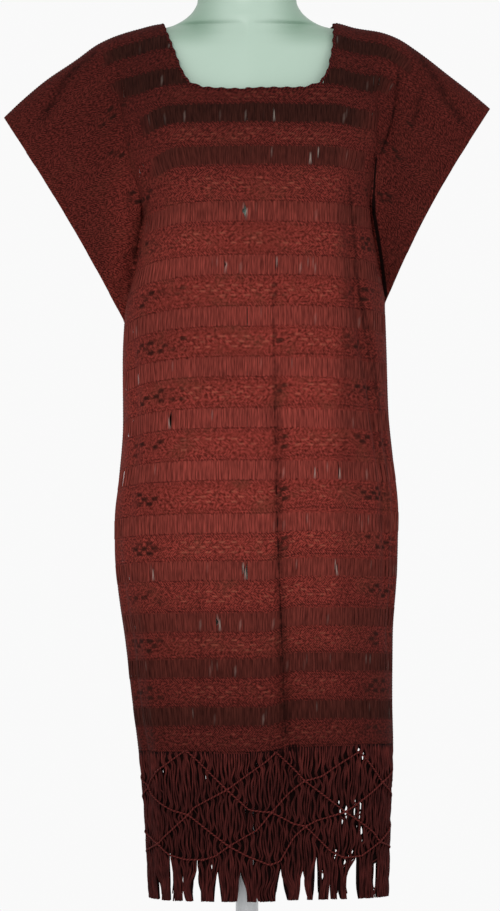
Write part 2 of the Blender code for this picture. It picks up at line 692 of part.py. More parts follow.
def loft(rings):
    """Points and faces of a closed solid through rings from the top down, with flat ends."""
    sides = len(rings[0])
    points = np.concatenate(rings).tolist()
    faces = [tuple(range(sides))]
    for row in range(len(rings) - 1):
        for side in range(sides):
            after = (side + 1) % sides
            upper, lower = row * sides, (row + 1) * sides
            faces.append((upper + after, upper + side, lower + side, lower + after))
    faces.append(tuple(range((len(rings) - 1) * sides, len(rings) * sides))[::-1])
    return points, faces


def dress_form(name, made):
    """The limbless form: neck, shoulders, chest and hips through its own sections."""
    rings = [ring_points(w, f, b, n, z, FORM_SIDES) for z, w, f, b, n in FORM_SECTIONS]
    return add_object(name, *loft(rings), made)


def turned(name, profile, sides, made):
    """A turned solid from (radius, z) rows, from the top down."""
    rings = [ring_points(r, r, r, 2.0, z, sides) for r, z in profile]
    return add_object(name, *loft(rings), made)


def stand(made):
    """Base disc, collar and pole, each resting on the one below."""
    base = (
        (BASE_RADIUS - BASE_EDGE, BASE_HEIGHT),
        (BASE_RADIUS, BASE_HEIGHT - BASE_EDGE),
        (BASE_RADIUS, 0.0),
    )
    turned("stand_base", base, BASE_SIDES, made)
    collar_low = BASE_HEIGHT + SEAM_GAP
    collar_top = collar_low + COLLAR_HEIGHT
    collar = (
        (COLLAR_NECK, collar_top),
        (COLLAR_RADIUS, collar_low + COLLAR_WALL),
        (COLLAR_RADIUS, collar_low),
    )
    turned("stand_collar", collar, POLE_SIDES, made)
    form_low = FORM_SECTIONS[-1][0]
    pole = ((POLE_RADIUS, form_low - SEAM_GAP), (POLE_RADIUS, collar_top + SEAM_GAP))
    turned("stand_pole", pole, POLE_SIDES, made)


def main():
    clear_scene()
    cloth = material("red_cloth", MADDER, 0.85)
    dark = material("dark_warp", DEEP_MADDER, 0.85)
    cord = material("cord_red", CORD_RED, 0.8)
    shell = material("form_shell", FORM_GREEN, 0.45)
    steel = material("satin_steel", STEEL, 0.35, 1.0)
    panel("front_panel", FRONT, FRONT_COLUMNS, cloth)
    panel("back_panel", BACK, BACK_COLUMNS, cloth)
    fringe("front_fringe", FRONT, FRONT_COLUMNS, dark)
    fringe("back_fringe", BACK, BACK_COLUMNS, dark)
    fringe_net("front_net", FRONT, cord)
    fringe_net("back_net", BACK, cord)
    neck_edging("front_edging", FRONT, FRONT_COLUMNS, cord)
    neck_edging("back_edging", BACK, BACK_COLUMNS, cord)
    dress_form("dress_form", shell)
    stand(steel)


main()
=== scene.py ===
# %% [markdown]
# # A huipil dress on a limbless dress form
#
# The dress is two handwoven panels, red on red, with rows of openwork, where the weft was
# left out and the bare warp shows as upright threads. Its fringe is the same warp, knotted
# into a net of diamonds. This file builds its looks round the CAD part: cloth as thin
# shells with real warp threads in every openwork row, then the edging, the fringe, the net,
# the form and the stand.
#
# The first cell loads the CAD part, which fixes the size and the place of everything.

# %% Load the CAD part
import math

import bpy
import numpy as np
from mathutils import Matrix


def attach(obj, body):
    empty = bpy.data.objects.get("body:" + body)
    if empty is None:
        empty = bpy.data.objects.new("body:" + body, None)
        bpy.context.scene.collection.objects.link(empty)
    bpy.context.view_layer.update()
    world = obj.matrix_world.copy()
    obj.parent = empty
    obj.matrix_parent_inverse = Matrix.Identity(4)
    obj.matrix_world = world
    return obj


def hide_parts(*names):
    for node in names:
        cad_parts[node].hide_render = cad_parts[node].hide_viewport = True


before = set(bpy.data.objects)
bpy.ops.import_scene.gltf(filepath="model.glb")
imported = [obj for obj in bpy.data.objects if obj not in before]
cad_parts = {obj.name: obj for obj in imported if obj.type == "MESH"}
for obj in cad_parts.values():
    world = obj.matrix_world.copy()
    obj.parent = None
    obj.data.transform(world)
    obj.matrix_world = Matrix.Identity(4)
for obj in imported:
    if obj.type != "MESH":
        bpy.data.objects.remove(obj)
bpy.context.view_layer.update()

# %% [markdown]
# ## Camera
#
# The dress was photographed from straight in front, at the height of its waist, from far
# enough away that nothing looks foreshortened. A long lens from 8 m gives that. One pixel
# of the photograph is 1.1 mm on the dress, so the frame's 911 pixels take in about 1 m.

# %% Camera
FRAME_HEIGHT, PIXEL, SENSOR = 911, 0.0011, 36.0
CENTRE_X, CENTRE_Z = 0.0033, 0.909
DISTANCE, CHEST_DEPTH = 8.0, 0.05


def in_scene(name, data, place=(0, 0, 0), turn=(0, 0, 0)):
    """An object of the scene, at its place and with its turn."""
    obj = bpy.data.objects.new(name, data)
    obj.location, obj.rotation_euler = place, turn
    bpy.context.scene.collection.objects.link(obj)
    return obj


lens = bpy.data.cameras.new("camera")
lens.sensor_width = SENSOR
lens.lens = SENSOR * (DISTANCE - CHEST_DEPTH) / (FRAME_HEIGHT * PIXEL)
camera = in_scene("camera", lens, (CENTRE_X, -DISTANCE, CENTRE_Z), (math.pi / 2, 0, 0))
bpy.context.scene.camera = camera
print(f"lens {lens.lens:.0f} mm for a frame {FRAME_HEIGHT} pixels high")

# %% [markdown]
# ## Light and floor
#
# The photograph is a cut-out on white, lit softly from the front. A white world gives the
# even light of a white room. One broad lamp in front, a little high, lights the chest more
# than the hem, and a weaker one at the side keeps the folds readable. The floor is a plain
# pale disc; it isn't part of the dress.

# %% Light and floor
WORLD_LIGHT, FLOOR_RADIUS, FLOOR_SIDES = 0.95, 4.5, 96
TURN = 2 * math.pi
# Name, place, point that it is aimed at, side of the square, power
LAMPS = (
    ("front_lamp", (-0.5, -3.2, 2.1), (0, 0, 1.05), 1.1, 34),
    ("side_lamp", (2.6, -1.6, 1.9), (0, 0, 1.0), 1.4, 10),
)

world = bpy.data.worlds.new("white_room")
world.use_nodes = True
background = world.node_tree.nodes["Background"].inputs
background["Color"].default_value = (1, 1, 1, 1)
background["Strength"].default_value = WORLD_LIGHT
bpy.context.scene.world = world
bpy.context.scene.view_settings.view_transform = "Standard"
for name, place, aim, size, power in LAMPS:
    lamp = bpy.data.lights.new(name, "AREA")
    lamp.size, lamp.energy = size, power
    away = np.array(place) - aim
    tilt = math.atan2(math.hypot(away[0], away[1]), away[2])
    in_scene(name, lamp, place, (tilt, 0, math.atan2(away[0], -away[1])))

turn = np.arange(FLOOR_SIDES) * TURN / FLOOR_SIDES
disc = bpy.data.meshes.new("floor")
edge = FLOOR_RADIUS * np.stack([np.cos(turn), np.sin(turn), 0 * turn], axis=1)
disc.from_pydata(edge.tolist(), [], [tuple(range(FLOOR_SIDES))])
in_scene("floor", disc)

# %% [markdown]
# ## Finishes: small helpers
#
# Every finish here is a node tree. A value in a tree can be added to, multiplied and so on
# like a number, and each step puts a Math node in the tree, so that the trees below read as
# short recipes. Masks are worked out from the cloth's own measures.

# %% Node helpers


def feed(node, inputs):
    """Set or link a node's inputs, given by name or number."""
    for key, value in inputs.items():
        if isinstance(value, Value):
            value.tree.links.new(value.socket, node.inputs[key])
        else:
            node.inputs[key].default_value = value


def put(tree, kind, inputs=None, **settings):
    """A new node with its properties set and its inputs set or linked."""
    made = tree.nodes.new(kind)
    for key, value in settings.items():
        setattr(made, key, value)
    feed(made, inputs or {})
    return made


def value_of(tree, kind, inputs=None, output=0, **settings):
    """What a new node puts out."""
    return Value(tree, put(tree, kind, inputs, **settings).outputs[output])


class Value:
    """What one socket of a tree puts out. Arithmetic on it puts Math nodes in the tree."""

    def __init__(self, tree, socket):
        self.tree, self.socket = tree, socket

    def math(self, operation, *others):
        inputs = dict(enumerate((self, *others)))
        return value_of(self.tree, "ShaderNodeMath", inputs, operation=operation)

    def __add__(self, other):
        return self.math("ADD", other)

    def __sub__(self, other):
        return self.math("SUBTRACT", other)

    def __rsub__(self, other):
        return value_of(self.tree, "ShaderNodeMath", {0: other, 1: self}, operation="SUBTRACT")

    def __mul__(self, other):
        return self.math("MULTIPLY", other)

    def __truediv__(self, other):
        return self.math("DIVIDE", other)

    def __abs__(self):
        return self.math("ABSOLUTE")


def rise(value, low, high, start=0.0, end=1.0):
    """A smooth rise from start at low to end at high."""
    inputs = {"Value": value, "From Min": low, "From Max": high, "To Min": start, "To Max": end}
    return value_of(value.tree, "ShaderNodeMapRange", inputs, interpolation_type="SMOOTHSTEP")


def bell(value, middle, half_width):
    """1 where the value is at the middle, falling smoothly to 0 at the half width."""
    return rise(abs(value - middle), 0.0, half_width, 1.0, 0.0)


def blend(share, *colours):
    """Two colours mixed by a share from 0 to 1."""
    first, second = (c if isinstance(c, Value) else (*c, 1.0) for c in colours)
    inputs = {"Factor": share, 6: first, 7: second}
    return value_of(share.tree, "ShaderNodeMix", inputs, 2, data_type="RGBA")


def vector(*parts):
    """Two or three values as one vector."""
    return value_of(parts[0].tree, "ShaderNodeCombineXYZ", dict(enumerate(parts)))


def split(whole):
    """The three parts of a vector."""
    made = put(whole.tree, "ShaderNodeSeparateXYZ", {0: whole})
    return [Value(whole.tree, socket) for socket in made.outputs]


def noise(place, scale=1.0, detail=2.0, roughness=0.5):
    """Cloudy noise from 0 to 1 at each place."""
    inputs = {"Vector": place, "Scale": scale, "Detail": detail, "Roughness": roughness}
    return value_of(place.tree, "ShaderNodeTexNoise", inputs)


def relief(height, strength, distance):
    """The normal that a height gives."""
    inputs = {"Height": height, "Strength": strength, "Distance": distance}
    return value_of(height.tree, "ShaderNodeBump", inputs)


def object_place(tree):
    """Each point's place in the object, in metres."""
    return value_of(tree, "ShaderNodeTexCoord", output="Object")


def mottle(tree, scale, detail=3.0):
    """Cloudy noise over the piece."""
    return noise(object_place(tree), scale, detail)


def new_group(name, inputs, outputs):
    """A shader node group, the values that go into it, and its output node.

    Each input has a default number, or None for a vector.
    """
    group = bpy.data.node_groups.new(name, "ShaderNodeTree")
    for label, default in inputs.items():
        kind = "NodeSocketVector" if default is None else "NodeSocketFloat"
        socket = group.interface.new_socket(name=label, in_out="INPUT", socket_type=kind)
        if default is not None:
            socket.default_value = default
    for label in outputs:
        group.interface.new_socket(name=label, in_out="OUTPUT", socket_type="NodeSocketFloat")
    given = group.nodes.new("NodeGroupInput")
    values = [Value(group, given.outputs[label]) for label in inputs]
    return group, values, group.nodes.new("NodeGroupOutput")


def new_material(name, roughness, **fixed):
    """A material with one Principled shader, whose constant sockets are set on the shader."""
    made = bpy.data.materials.new(name)
    made.use_nodes = True
    shader = made.node_tree.nodes["Principled BSDF"]
    fixed = {key.replace("_", " "): value for key, value in fixed.items()}
    feed(shader, {"Roughness": roughness, **fixed})
    return made, made.node_tree, shader


# %% [markdown]
# ## The shape of the cloth
#
# Two measures place every point of the cloth: how far across the panel it is, from -1 at
# the left cuff or side seam to 1 at the right, and its fall, the height that the cloth has
# dropped at the centre. The shape comes from the same rules as the CAD solids, so that the
# thin cloth lies inside them, but on a far finer grid. Its tables are in millimetres, and
# are turned into metres, the unit of everything else here.

# %% Curves and small sums


def smooth_curve(table, column, at):
    """A column of a table at values of the first one, through a cubic with no overshoot.

    The slope at each row is the harmonic mean of its neighbours' slopes, or 0 at a turn.
    """
    known, value = table[:, 0], table[:, column]
    step = np.diff(known)
    rate = np.diff(value) / step
    slope = np.zeros_like(value)
    same = rate[1:] * rate[:-1] > 0
    safe = np.where(same, rate[1:] + rate[:-1], 1.0)
    slope[1:-1] = np.where(same, 2 * rate[1:] * rate[:-1] / safe, 0.0)
    slope[0], slope[-1] = rate[0], rate[-1]
    at = np.clip(at, known[0], known[-1])
    row = np.clip(np.searchsorted(known, at, side="right") - 1, 0, len(step) - 1)
    part = (at - known[row]) / step[row]
    rest = 1 - part
    bends = slope[row] * step[row] * part * rest**2 - slope[row + 1] * step[row] * part**2 * rest
    return value[row] * (1 + 2 * part) * rest**2 + value[row + 1] * part**2 * (3 - 2 * part) + bends


def straight_curve(table, column, at):
    """A column of a table at values of the first one, through straight lines."""
    return np.interp(at, table[:, 0], table[:, column])


def by_side(across, left, right):
    """The left value left of the centre, and the right one elsewhere."""
    return np.where(across < 0, left, right)


def sided(curve, table, columns, across, at):
    """The first of two columns of a table left of the centre, and the second elsewhere."""
    return by_side(across, *(curve(table, column, at) for column in columns))


def ramp(value, low, high):
    """0 up to low, 1 from high, and a smooth rise between."""
    part = np.clip((value - low) / (high - low), 0.0, 1.0)
    return part**2 * (3 - 2 * part)


def window(value, low, full, fading, gone):
    """A smooth rise between the first two values, and a smooth fall between the others."""
    return ramp(value, low, full) * (1 - ramp(value, fading, gone))


def hump(away, power=2):
    """1 at 0, falling on both sides as exp(-away^power)."""
    return np.exp(-(away**power))


def arc_rise(part):
    """Height of a quarter circle: 0 at 0, with an upright start, and 1 from 1 on."""
    return np.sqrt(1 - (1 - np.clip(part, 0.0, 1.0)) ** 2)


def unit(vectors):
    """Vectors made 1 long."""
    return vectors / np.maximum(np.linalg.norm(vectors, axis=-1, keepdims=True), 1e-12)


def square_to(vectors, run):
    """Vectors without their part along the unit vectors of a run."""
    return vectors - (vectors * run).sum(axis=-1, keepdims=True) * run


def run_length(paths):
    """Distance from the start to each point of a path, or of many."""
    steps = np.linalg.norm(np.diff(paths, axis=-2), axis=-1)
    return np.concatenate([np.zeros_like(steps[..., :1]), np.cumsum(steps, axis=-1)], axis=-1)


# %% [markdown]
# The tables below are those of the CAD part. The left and the right side differ a little,
# as they do in the photograph, because the dress hangs a little askew.

# %% Measures of the dress
FRONT, BACK = -1, 1
FACES, HANDS = {FRONT: "front", BACK: "back"}, {-1: "left", 1: "right"}
SHOULDER_Z = 1.386
ARMHOLE_FALL, HEM_FALL, FRINGE_FALL = 0.30, 0.803, 0.966
SLOPE_FADE, CREST = 0.26, {FRONT: 0.20, BACK: 0.10}
SLEEVE_TIP_OUT, SLEEVE_START, SLEEVE_BLEND, SLEEVE_ROLL = 0.2685, 0.50, 0.70, 0.055
LEFT_BOW, RIGHT_BOW = 0.0045, 0.0075
RATE_STEP, FLAP_POWER, CUFF_CLOSING = 0.01, 1.2, 4
SEAM_GAP = 0.0003

# Fall, half width left and right, depth front and back, a thousand times the squareness,
# sag left and right, lift
BODY = np.array([
    (0, 165, 168, 110, 96, 2200, 0, 0, 0), (80, 160, 164, 112, 101, 2300, 4, 2, 0),
    (140, 140, 153, 113, 104, 2400, 12, 6, 0), (200, 120, 142, 113, 105, 2500, 20, 9, 0),
    (250, 126, 145, 111, 104, 2500, 26, 11, 0), (300, 135, 151.5, 108, 103, 2400, 30.2, 12, 1),
    (350, 136.8, 153.5, 106, 103, 2400, 26, 11, 3), (420, 136.4, 155.5, 105, 104, 2400, 20, 9, 4),
    (490, 141, 162, 106, 106, 2400, 14, 8, 6), (540, 145.5, 166.5, 107, 108, 2300, 10, 7, 7),
    (600, 143.5, 165.5, 106, 108, 2300, 7, 6, 8), (680, 133.5, 160.5, 102, 104, 2300, 5, 5, 8),
    (750, 125.5, 160, 98, 100, 2300, 4, 4, 8), (803, 119, 161, 95, 97, 2300, 3, 3, 8),
    (870, 113, 158.5, 92, 94, 2300, 2, 2, 5), (966, 108, 156, 90, 92, 2300, 0, 0, 2),
]) / 1000
HALF_WIDTHS, DEPTH, SQUARE, SAGS, LIFT = (1, 2), {FRONT: 3, BACK: 4}, 5, (6, 7), 8
LIFTED = {FRONT: (0.05, 0.20), BACK: (0.80, 1.00)}

# Distance out from the centre, height of the top edge on the left and on the right
SHOULDER = np.array([
    (0, 1388, 1389), (93.5, 1385.8, 1387.5), (121, 1379.8, 1381), (148.5, 1371.2, 1376.5),
    (170.5, 1360.5, 1368.2), (190.3, 1345.1, 1354.5), (221.1, 1324.2, 1330.3),
    (250, 1300, 1307.9), (269.5, 1281.3, 1291.2),
]) / 1000

# A thousand times across, half the depth of the sleeve
SLEEVE_DEPTH = np.array([(0, 110), (450, 84), (600, 62), (750, 46), (900, 34), (1000, 28)]) / 1000

# Drop below the shoulder, how far out the neck edge is on the left and on the right
NECK = {
    FRONT: np.array([(0, 94.5, 98), (29, 83, 96), (55, 73.2, 90.5), (70.5, 63.5, 81),
                     (76.5, 47, 62), (79, 0, 0)]) / 1000,
    BACK: np.array([(0, 94.5, 98), (16, 83, 88), (29, 64, 68), (35, 36, 38), (36, 0, 0)]) / 1000,
}

# %% [markdown]
# The body part of a panel is a superellipse at each level, turned through a right angle
# from the centre to the side seam. The sleeve part runs beside the folded top edge. The two
# meet in the deep fold under the arm, which is also where the cloth is pinched in.

# %% The unfolded cloth
LEFT_PINCH, RIGHT_PINCH = 0.45, 0.62
LEFT_SHARP, RIGHT_SHARP = 0.10, 0.55
PINCH_HALF_WIDTH, SHARP_HALF_WIDTH = 0.05, 0.012
PINCHED = 0.42, 0.72, 0.90, 1.00


def top_edge(across, out):
    """Height of the folded top edge at a distance from the centre."""
    return sided(smooth_curve, SHOULDER, (1, 2), across, out)


def body_surface(across, fall, face):
    """(out, y, z) round the body: sine and cosine of the turn, each to the power 2 / square."""
    share = np.abs(across)
    turn = share * math.pi / 2
    power = 2 / smooth_curve(BODY, SQUARE, fall)
    out = sided(smooth_curve, BODY, HALF_WIDTHS, across, fall) * np.sin(turn) ** power
    depth = smooth_curve(BODY, DEPTH[face], fall) * arc_rise(fall / CREST[face])
    y = face * depth * np.clip(np.cos(turn), 0, 1) ** power
    slope = (SHOULDER_Z - top_edge(across, out)) * (1 - ramp(fall, 0.0, SLOPE_FADE))
    sag = sided(smooth_curve, BODY, SAGS, across, fall) * share**2
    lift = smooth_curve(BODY, LIFT, fall) * ramp(across, *LIFTED[face])
    return out, y, SHOULDER_Z - fall - slope - sag + lift


def sleeve_surface(across, fall, face):
    """(out, y, z) in the sleeve: the top edge moved down along a cuff that bows in a little."""
    share = np.abs(across)
    down = np.clip(fall / ARMHOLE_FALL, 0.0, 1.0)
    side = np.where(across < 0, -1.0, 1.0)
    zero = np.zeros_like(side)
    start = body_surface(side * SLEEVE_START, zero, face)[0]
    rate = (start - body_surface(side * (SLEEVE_START - RATE_STEP), zero, face)[0]) / RATE_STEP
    past = np.clip(share - SLEEVE_START, 0.0, None)
    widen = (SLEEVE_TIP_OUT - start) / (1 - SLEEVE_START) ** 2 - rate / (1 - SLEEVE_START)
    top_out = start + rate * (share - SLEEVE_START) + widen * past**2
    end_out, _, end_z = body_surface(side, zero + ARMHOLE_FALL, face)
    bow = by_side(across, LEFT_BOW, RIGHT_BOW) * np.sin(math.pi * down)
    out = top_out + down * (end_out - SLEEVE_TIP_OUT) - bow
    z = top_edge(across, top_out) + down * (end_z - top_edge(across, zero + SLEEVE_TIP_OUT))
    depth = smooth_curve(SLEEVE_DEPTH, 1, share) * arc_rise(fall / SLEEVE_ROLL)
    return out, face * depth * (1 - down**CUFF_CLOSING), z


def underarm_share(down):
    """How far across the fold under the arm is, at a share of the way down the armhole."""
    return SLEEVE_START + (1 - SLEEVE_START) * down**FLAP_POWER


def cloth_points(across, fall, face):
    """Middle of the cloth: body and sleeve mixed over a short width past the underarm fold.

    The fold is pinched by two bells across it, a wide one as in the CAD and a narrow one.
    """
    share = np.abs(across)
    down = np.clip(fall / ARMHOLE_FALL, 0.0, 1.0)
    start = underarm_share(down)
    width = np.maximum(SLEEVE_BLEND * (1 - start), 1e-6)
    weight = ramp((share - start) / width, 0.0, 1.0) * (down < 1)
    body, sleeve = body_surface(across, fall, face), sleeve_surface(across, fall, face)
    out, y, z = (a * (1 - weight) + b * weight for a, b in zip(body, sleeve))
    for left, right, half_width in ((LEFT_PINCH, RIGHT_PINCH, PINCH_HALF_WIDTH),
                                    (LEFT_SHARP, RIGHT_SHARP, SHARP_HALF_WIDTH)):
        depth = by_side(across, left, right) * window(down, *PINCHED)
        y = y * (1 - depth * hump((share - start) / half_width))
    return np.stack([by_side(across, -out, out), y + face * SEAM_GAP / 2, z], axis=-1)


# %% [markdown]
# Folds come in two kinds. The wide ones are the CAD's: each is a bell across the cloth that
# fades in and out along its length. Sharper creases are given by the line that they draw
# when seen from the front, or from behind for the back panel. Soft unevenness comes last,
# as a few slow waves.

# %% Folds
# A thousand times across at the top and the bottom, fall there, a thousand times the half
# width across, height at the top and the bottom
FOLDS = {
    FRONT: np.array([
        (85, 141, 260, 840, 45, -2, -8.5), (175, 235, 300, 840, 60, 1, 4.5),
        (470, 610, 150, 370, 55, -3.5, -6.5), (610, 740, 350, 470, 55, -6, -4),
        (560, 690, 200, 400, 60, 2, 4), (700, 730, 400, 640, 45, -4.5, -4),
        (840, 850, 420, 700, 45, -3.5, -4.5), (350, 330, 120, 270, 200, 6, 4),
        (-350, -330, 120, 270, 200, 6, 4), (430, 400, 550, 840, 70, -1, -3.5),
        (-430, -460, 270, 450, 55, -2.5, -1), (-720, -640, 340, 600, 60, -3.5, -1.5),
        (-300, -250, 520, 840, 80, -1, -4), (-600, -560, 500, 840, 70, 1, 4),
        (-820, -780, 550, 840, 60, -2, -5),
    ]) / 1000,
    BACK: np.array([
        (-60, -100, 220, 840, 55, -2, -8), (60, 20, 300, 840, 65, 1, 4.5),
        (340, 420, 180, 840, 60, -2, -7), (520, 560, 400, 840, 60, 1.5, 4.5),
        (700, 760, 240, 620, 55, -5, -3), (-360, -300, 360, 840, 60, -2, -6.5),
        (-500, -560, 160, 520, 60, -5, -2), (-700, -640, 400, 840, 65, 1, 4),
        (-840, -800, 300, 840, 50, -3.5, -5),
    ]) / 1000,
}
FOLD_END, SEAM_FLAT_FROM = 0.05, 0.90


def crease(half_width, height, darkness, dark_half_width, *line):
    """A crease in metres, from one in millimetres, with (x, z) points down its line."""
    return half_width / 1000, height / 1000, darkness, dark_half_width / 1000, np.array(line) / 1000


# Half width and height of each crease's fold, how dark its painted shade is and the half width of
# that shade, then (x, z) points down its line; one with no height is painted shade only
CREASES = {
    FRONT: (
        crease(4.2, -1.2, 0.55, 2.6, (27.8, 1110), (29, 1050), (30.8, 935)),
        crease(4.2, -3.4, 0.93, 2.3, (30, 975), (31.2, 915), (34.5, 794), (38.5, 697), (43, 590)),
        crease(0.1, 0, 0.48, 8.5, (31.8, 1010), (33.2, 915), (35.8, 794), (39, 697), (43, 590)),
        crease(5.5, -2.6, 0.62, 3, (112, 1215), (115, 1175), (118, 1138), (121.5, 1100),
               (128, 1055), (135.5, 1010), (143, 975), (150, 950)),
        crease(4, -2, 0.50, 2.6, (126, 1080), (135, 1040), (143, 980), (147, 910), (148, 820)),
        crease(3.5, -1.8, 0.40, 2.6, (151, 950), (154, 880), (155, 800)),
        crease(3.2, -4.2, 0.85, 2.4, (167.2, 1342), (163.5, 1300), (156, 1266), (148.5, 1245),
               (142.5, 1232)),
        crease(0.1, 0, 1, 1.6, (143.2, 1242), (140.4, 1210), (139.8, 1170)),
        crease(0.1, 0, 1, 3.1, (140.2, 1200), (140, 1178), (143, 1160), (148.8, 1123.5),
               (154.3, 1080)),
        crease(5, -2.2, 0.45, 5, (194.5, 1318), (187, 1290), (179, 1265)),
        crease(6, -2, 0.55, 10, (179, 1366), (188, 1353), (205.3, 1328), (220.3, 1303),
               (242.8, 1265.5)),
        crease(6, -2, 0.60, 10, (-160, 1362), (-176, 1347), (-188, 1337), (-201.3, 1322),
               (-214.5, 1300), (-229, 1272)),
        crease(7, -2.2, 0.60, 4.5, (-106, 1195), (-119, 1158), (-126, 1120), (-131, 1080)),
        crease(5, -1.4, 0.15, 6, (-100, 1020), (-106, 930), (-104, 840)),
        crease(4.5, -1.4, 0.20, 6, (-55, 800), (-52, 700), (-50, 600)),
    ),
    BACK: (
        crease(4.5, -2.8, 0.70, 4, (-18, 1100), (-22, 980), (-28, 800), (-34, 600)),
        crease(5, -2.4, 0.40, 3.5, (112, 1160), (120, 1080), (128, 980)),
        crease(4.2, -3, 0.50, 3, (-158, 1320), (-150, 1260), (-142, 1200)),
        crease(4.2, -2.6, 0.45, 3, (150, 1310), (143, 1250), (130, 1200)),
        crease(5, -1.8, 0.25, 4.5, (-105, 1000), (-110, 900), (-108, 760)),
        crease(5, -2, 0.30, 4.5, (70, 860), (74, 740), (78, 600)),
    ),
}
CREASE_FADE = 0.03
# Height, waves across and down, and shift
WAVES = (
    (0.0006, 41, 17, 0.4), (0.0005, -27, 33, 1.9), (0.0004, 63, -21, 2.6),
    (0.0003, 88, 57, 0.9), (0.00025, -71, 95, 4.0),
)
NORMAL_STEP = 0.0015


def fold_height(across, fall, face):
    """Sum of the wide folds: bells across, faded in and out over their ends."""
    height = np.zeros_like(across)
    for top, low, top_fall, low_fall, half_width, top_height, low_height in FOLDS[face]:
        part = np.clip((fall - top_fall) / (low_fall - top_fall), 0.0, 1.0)
        size = top_height + (low_height - top_height) * part
        fade = window(fall, top_fall - FOLD_END, top_fall + FOLD_END,
                      low_fall - FOLD_END, low_fall + FOLD_END)
        height += size * fade * hump((across - top - (low - top) * part) / half_width)
    return height * (1 - ramp(np.abs(across), SEAM_FLAT_FROM, 1.0))


def crease_height(points, face):
    """Sum of the sharp creases: a bell of the distance to each line, seen along y."""
    flat = points[..., [0, 2]]
    total = np.zeros(flat.shape[:-1])
    for half_width, height, _, _, line in CREASES[face]:
        reached = run_length(line)
        nearest, along = np.full_like(total, 1e9), np.zeros_like(total)
        for start, end, before in zip(line, line[1:], reached):
            way = unit(end - start)
            part = np.clip((flat - start) @ way, 0.0, np.linalg.norm(end - start))
            away = np.linalg.norm(flat - start - part[..., None] * way, axis=-1)
            along = np.where(away < nearest, part + before, along)
            nearest = np.minimum(nearest, away)
        fade = window(along, 0.0, CREASE_FADE, reached[-1] - CREASE_FADE, reached[-1])
        total += height * fade * hump(nearest / half_width)
    return total


def slow_waves(points):
    """Soft unevenness: a few sine waves that run at different slants over the cloth."""
    x, z = points[..., 0], points[..., 2]
    return sum(size * np.sin(kx * x + kz * z + shift) for size, kx, kz, shift in WAVES)


def unfolded_normal(across, fall, face):
    """Outward unit normals of the unfolded cloth, from steps across and down."""
    left, right = (np.clip(across + step, -1, 1) for step in (-NORMAL_STEP, NORMAL_STEP))
    beside = cloth_points(right, fall, face) - cloth_points(left, fall, face)
    upper, lower = np.maximum(fall - NORMAL_STEP, 0), fall + NORMAL_STEP
    below = cloth_points(across, lower, face) - cloth_points(across, upper, face)
    return unit(np.cross(beside, below) * face)


def folded_points(across, fall, face):
    """Middle of the cloth with its folds, creases and waves, moved along the normal."""
    points, normal = cloth_points(across, fall, face), unfolded_normal(across, fall, face)
    inside = (1 - ramp(np.abs(across), 0.94, 1.0)) * ramp(fall, 0.0, 0.03)
    small = crease_height(points, face) + slow_waves(points)
    height = fold_height(across, fall, face) + small * inside
    return points + normal * height[..., None], normal


# %% [markdown]
# ## Measures along the cloth
#
# Weave, openwork and brocade follow the cloth, not the air round it. So each point also
# knows its distance along the weft from the centre, and its distance down the warp from the
# shoulder seam. The neck edge says where the cloth stops.

# %% Distances on the cloth
ARC_SAMPLES, DOWN_SAMPLES, DOWN_COLUMN = 161, 400, 0.30


def neck_fall(across, face):
    """Fall of the neck edge at each place across, and 0 outside the opening."""
    table = NECK[face][::-1]
    out = body_surface(across, np.zeros_like(across), face)[0]
    return by_side(across, *(np.interp(out, table[:, k], table[:, 0]) for k in (1, 2)))


def neck_share(fall, side, face):
    """How far across the neck edge is at a fall, on one side."""
    share = np.linspace(0.0, 0.6, 601)
    edge = neck_fall(side * share, face)
    inside = edge > 0
    return float(np.interp(-fall, -edge[inside], share[inside])) if fall < edge.max() else 0.0


def weft_distance(fall, side, face):
    """(share, distance from the centre) along one level of the cloth, out to its edge."""
    share = np.linspace(0.0, 1.0, ARC_SAMPLES)
    return share, run_length(cloth_points(side * share, np.full(ARC_SAMPLES, fall), face))


def warp_table(face):
    """(fall, distance down from the shoulder seam) along one warp thread of a panel."""
    fall = np.linspace(0.0, 1.0, DOWN_SAMPLES) ** 2 * FRINGE_FALL
    return fall, run_length(cloth_points(np.full(DOWN_SAMPLES, DOWN_COLUMN), fall, face))


WARP_DOWN = {face: warp_table(face) for face in FACES}
for face, word in FACES.items():
    print(f"warp from shoulder to hem, {word}: {np.interp(HEM_FALL, *WARP_DOWN[face]):.3f} m")

# %% [markdown]
# ## Rows of openwork
#
# Fifteen rows of openwork cross each panel, about 57 mm apart. In each one the weft was left
# out for some 20 mm. Their places are read off the photograph down the centre of the dress,
# as falls. Between two rows lies a strip of solid weave.

# %% Where the openwork rows are
ROW_FALLS = np.array([22, 61.6, 103.4, 149.6, 210.1, 268.4, 324.5, 379.5, 435.6, 492.8, 551.1,
                      602.8, 658.9, 709.5, 762.3]) / 1000
ROW_HALVES = np.array([7, 8.5] + [9.5] * 13) / 1000

# Fall, and how much lower than at the centre a row lies on that side
RIGHT_DROP = np.array([(310, 0), (360, 3), (430, 4.5), (500, 5.5), (575, 4.5), (660, 1.2),
                       (720, 0)]) / 1000
LEFT_DROP = np.array([(55, 0), (85, 7), (110, 9), (150, 8.5), (200, 3), (250, 0)]) / 1000


def row_drop(across, fall):
    """Extra fall of a row: on the right at the hips, and on the left above the sleeve."""
    right = straight_curve(RIGHT_DROP, 1, fall) * window(across, 0.05, 0.20, 0.70, 0.95)
    return right + straight_curve(LEFT_DROP, 1, fall) * window(-across, 0.30, 0.52, 0.70, 0.95)


row_edges = list(zip(ROW_FALLS - ROW_HALVES, ROW_FALLS + ROW_HALVES))
strip_edges = list(zip([0.0] + [low for _, low in row_edges],
                       [top for top, _ in row_edges] + [HEM_FALL]))
print(len(row_edges), "openwork rows between", len(strip_edges), "strips of solid weave")

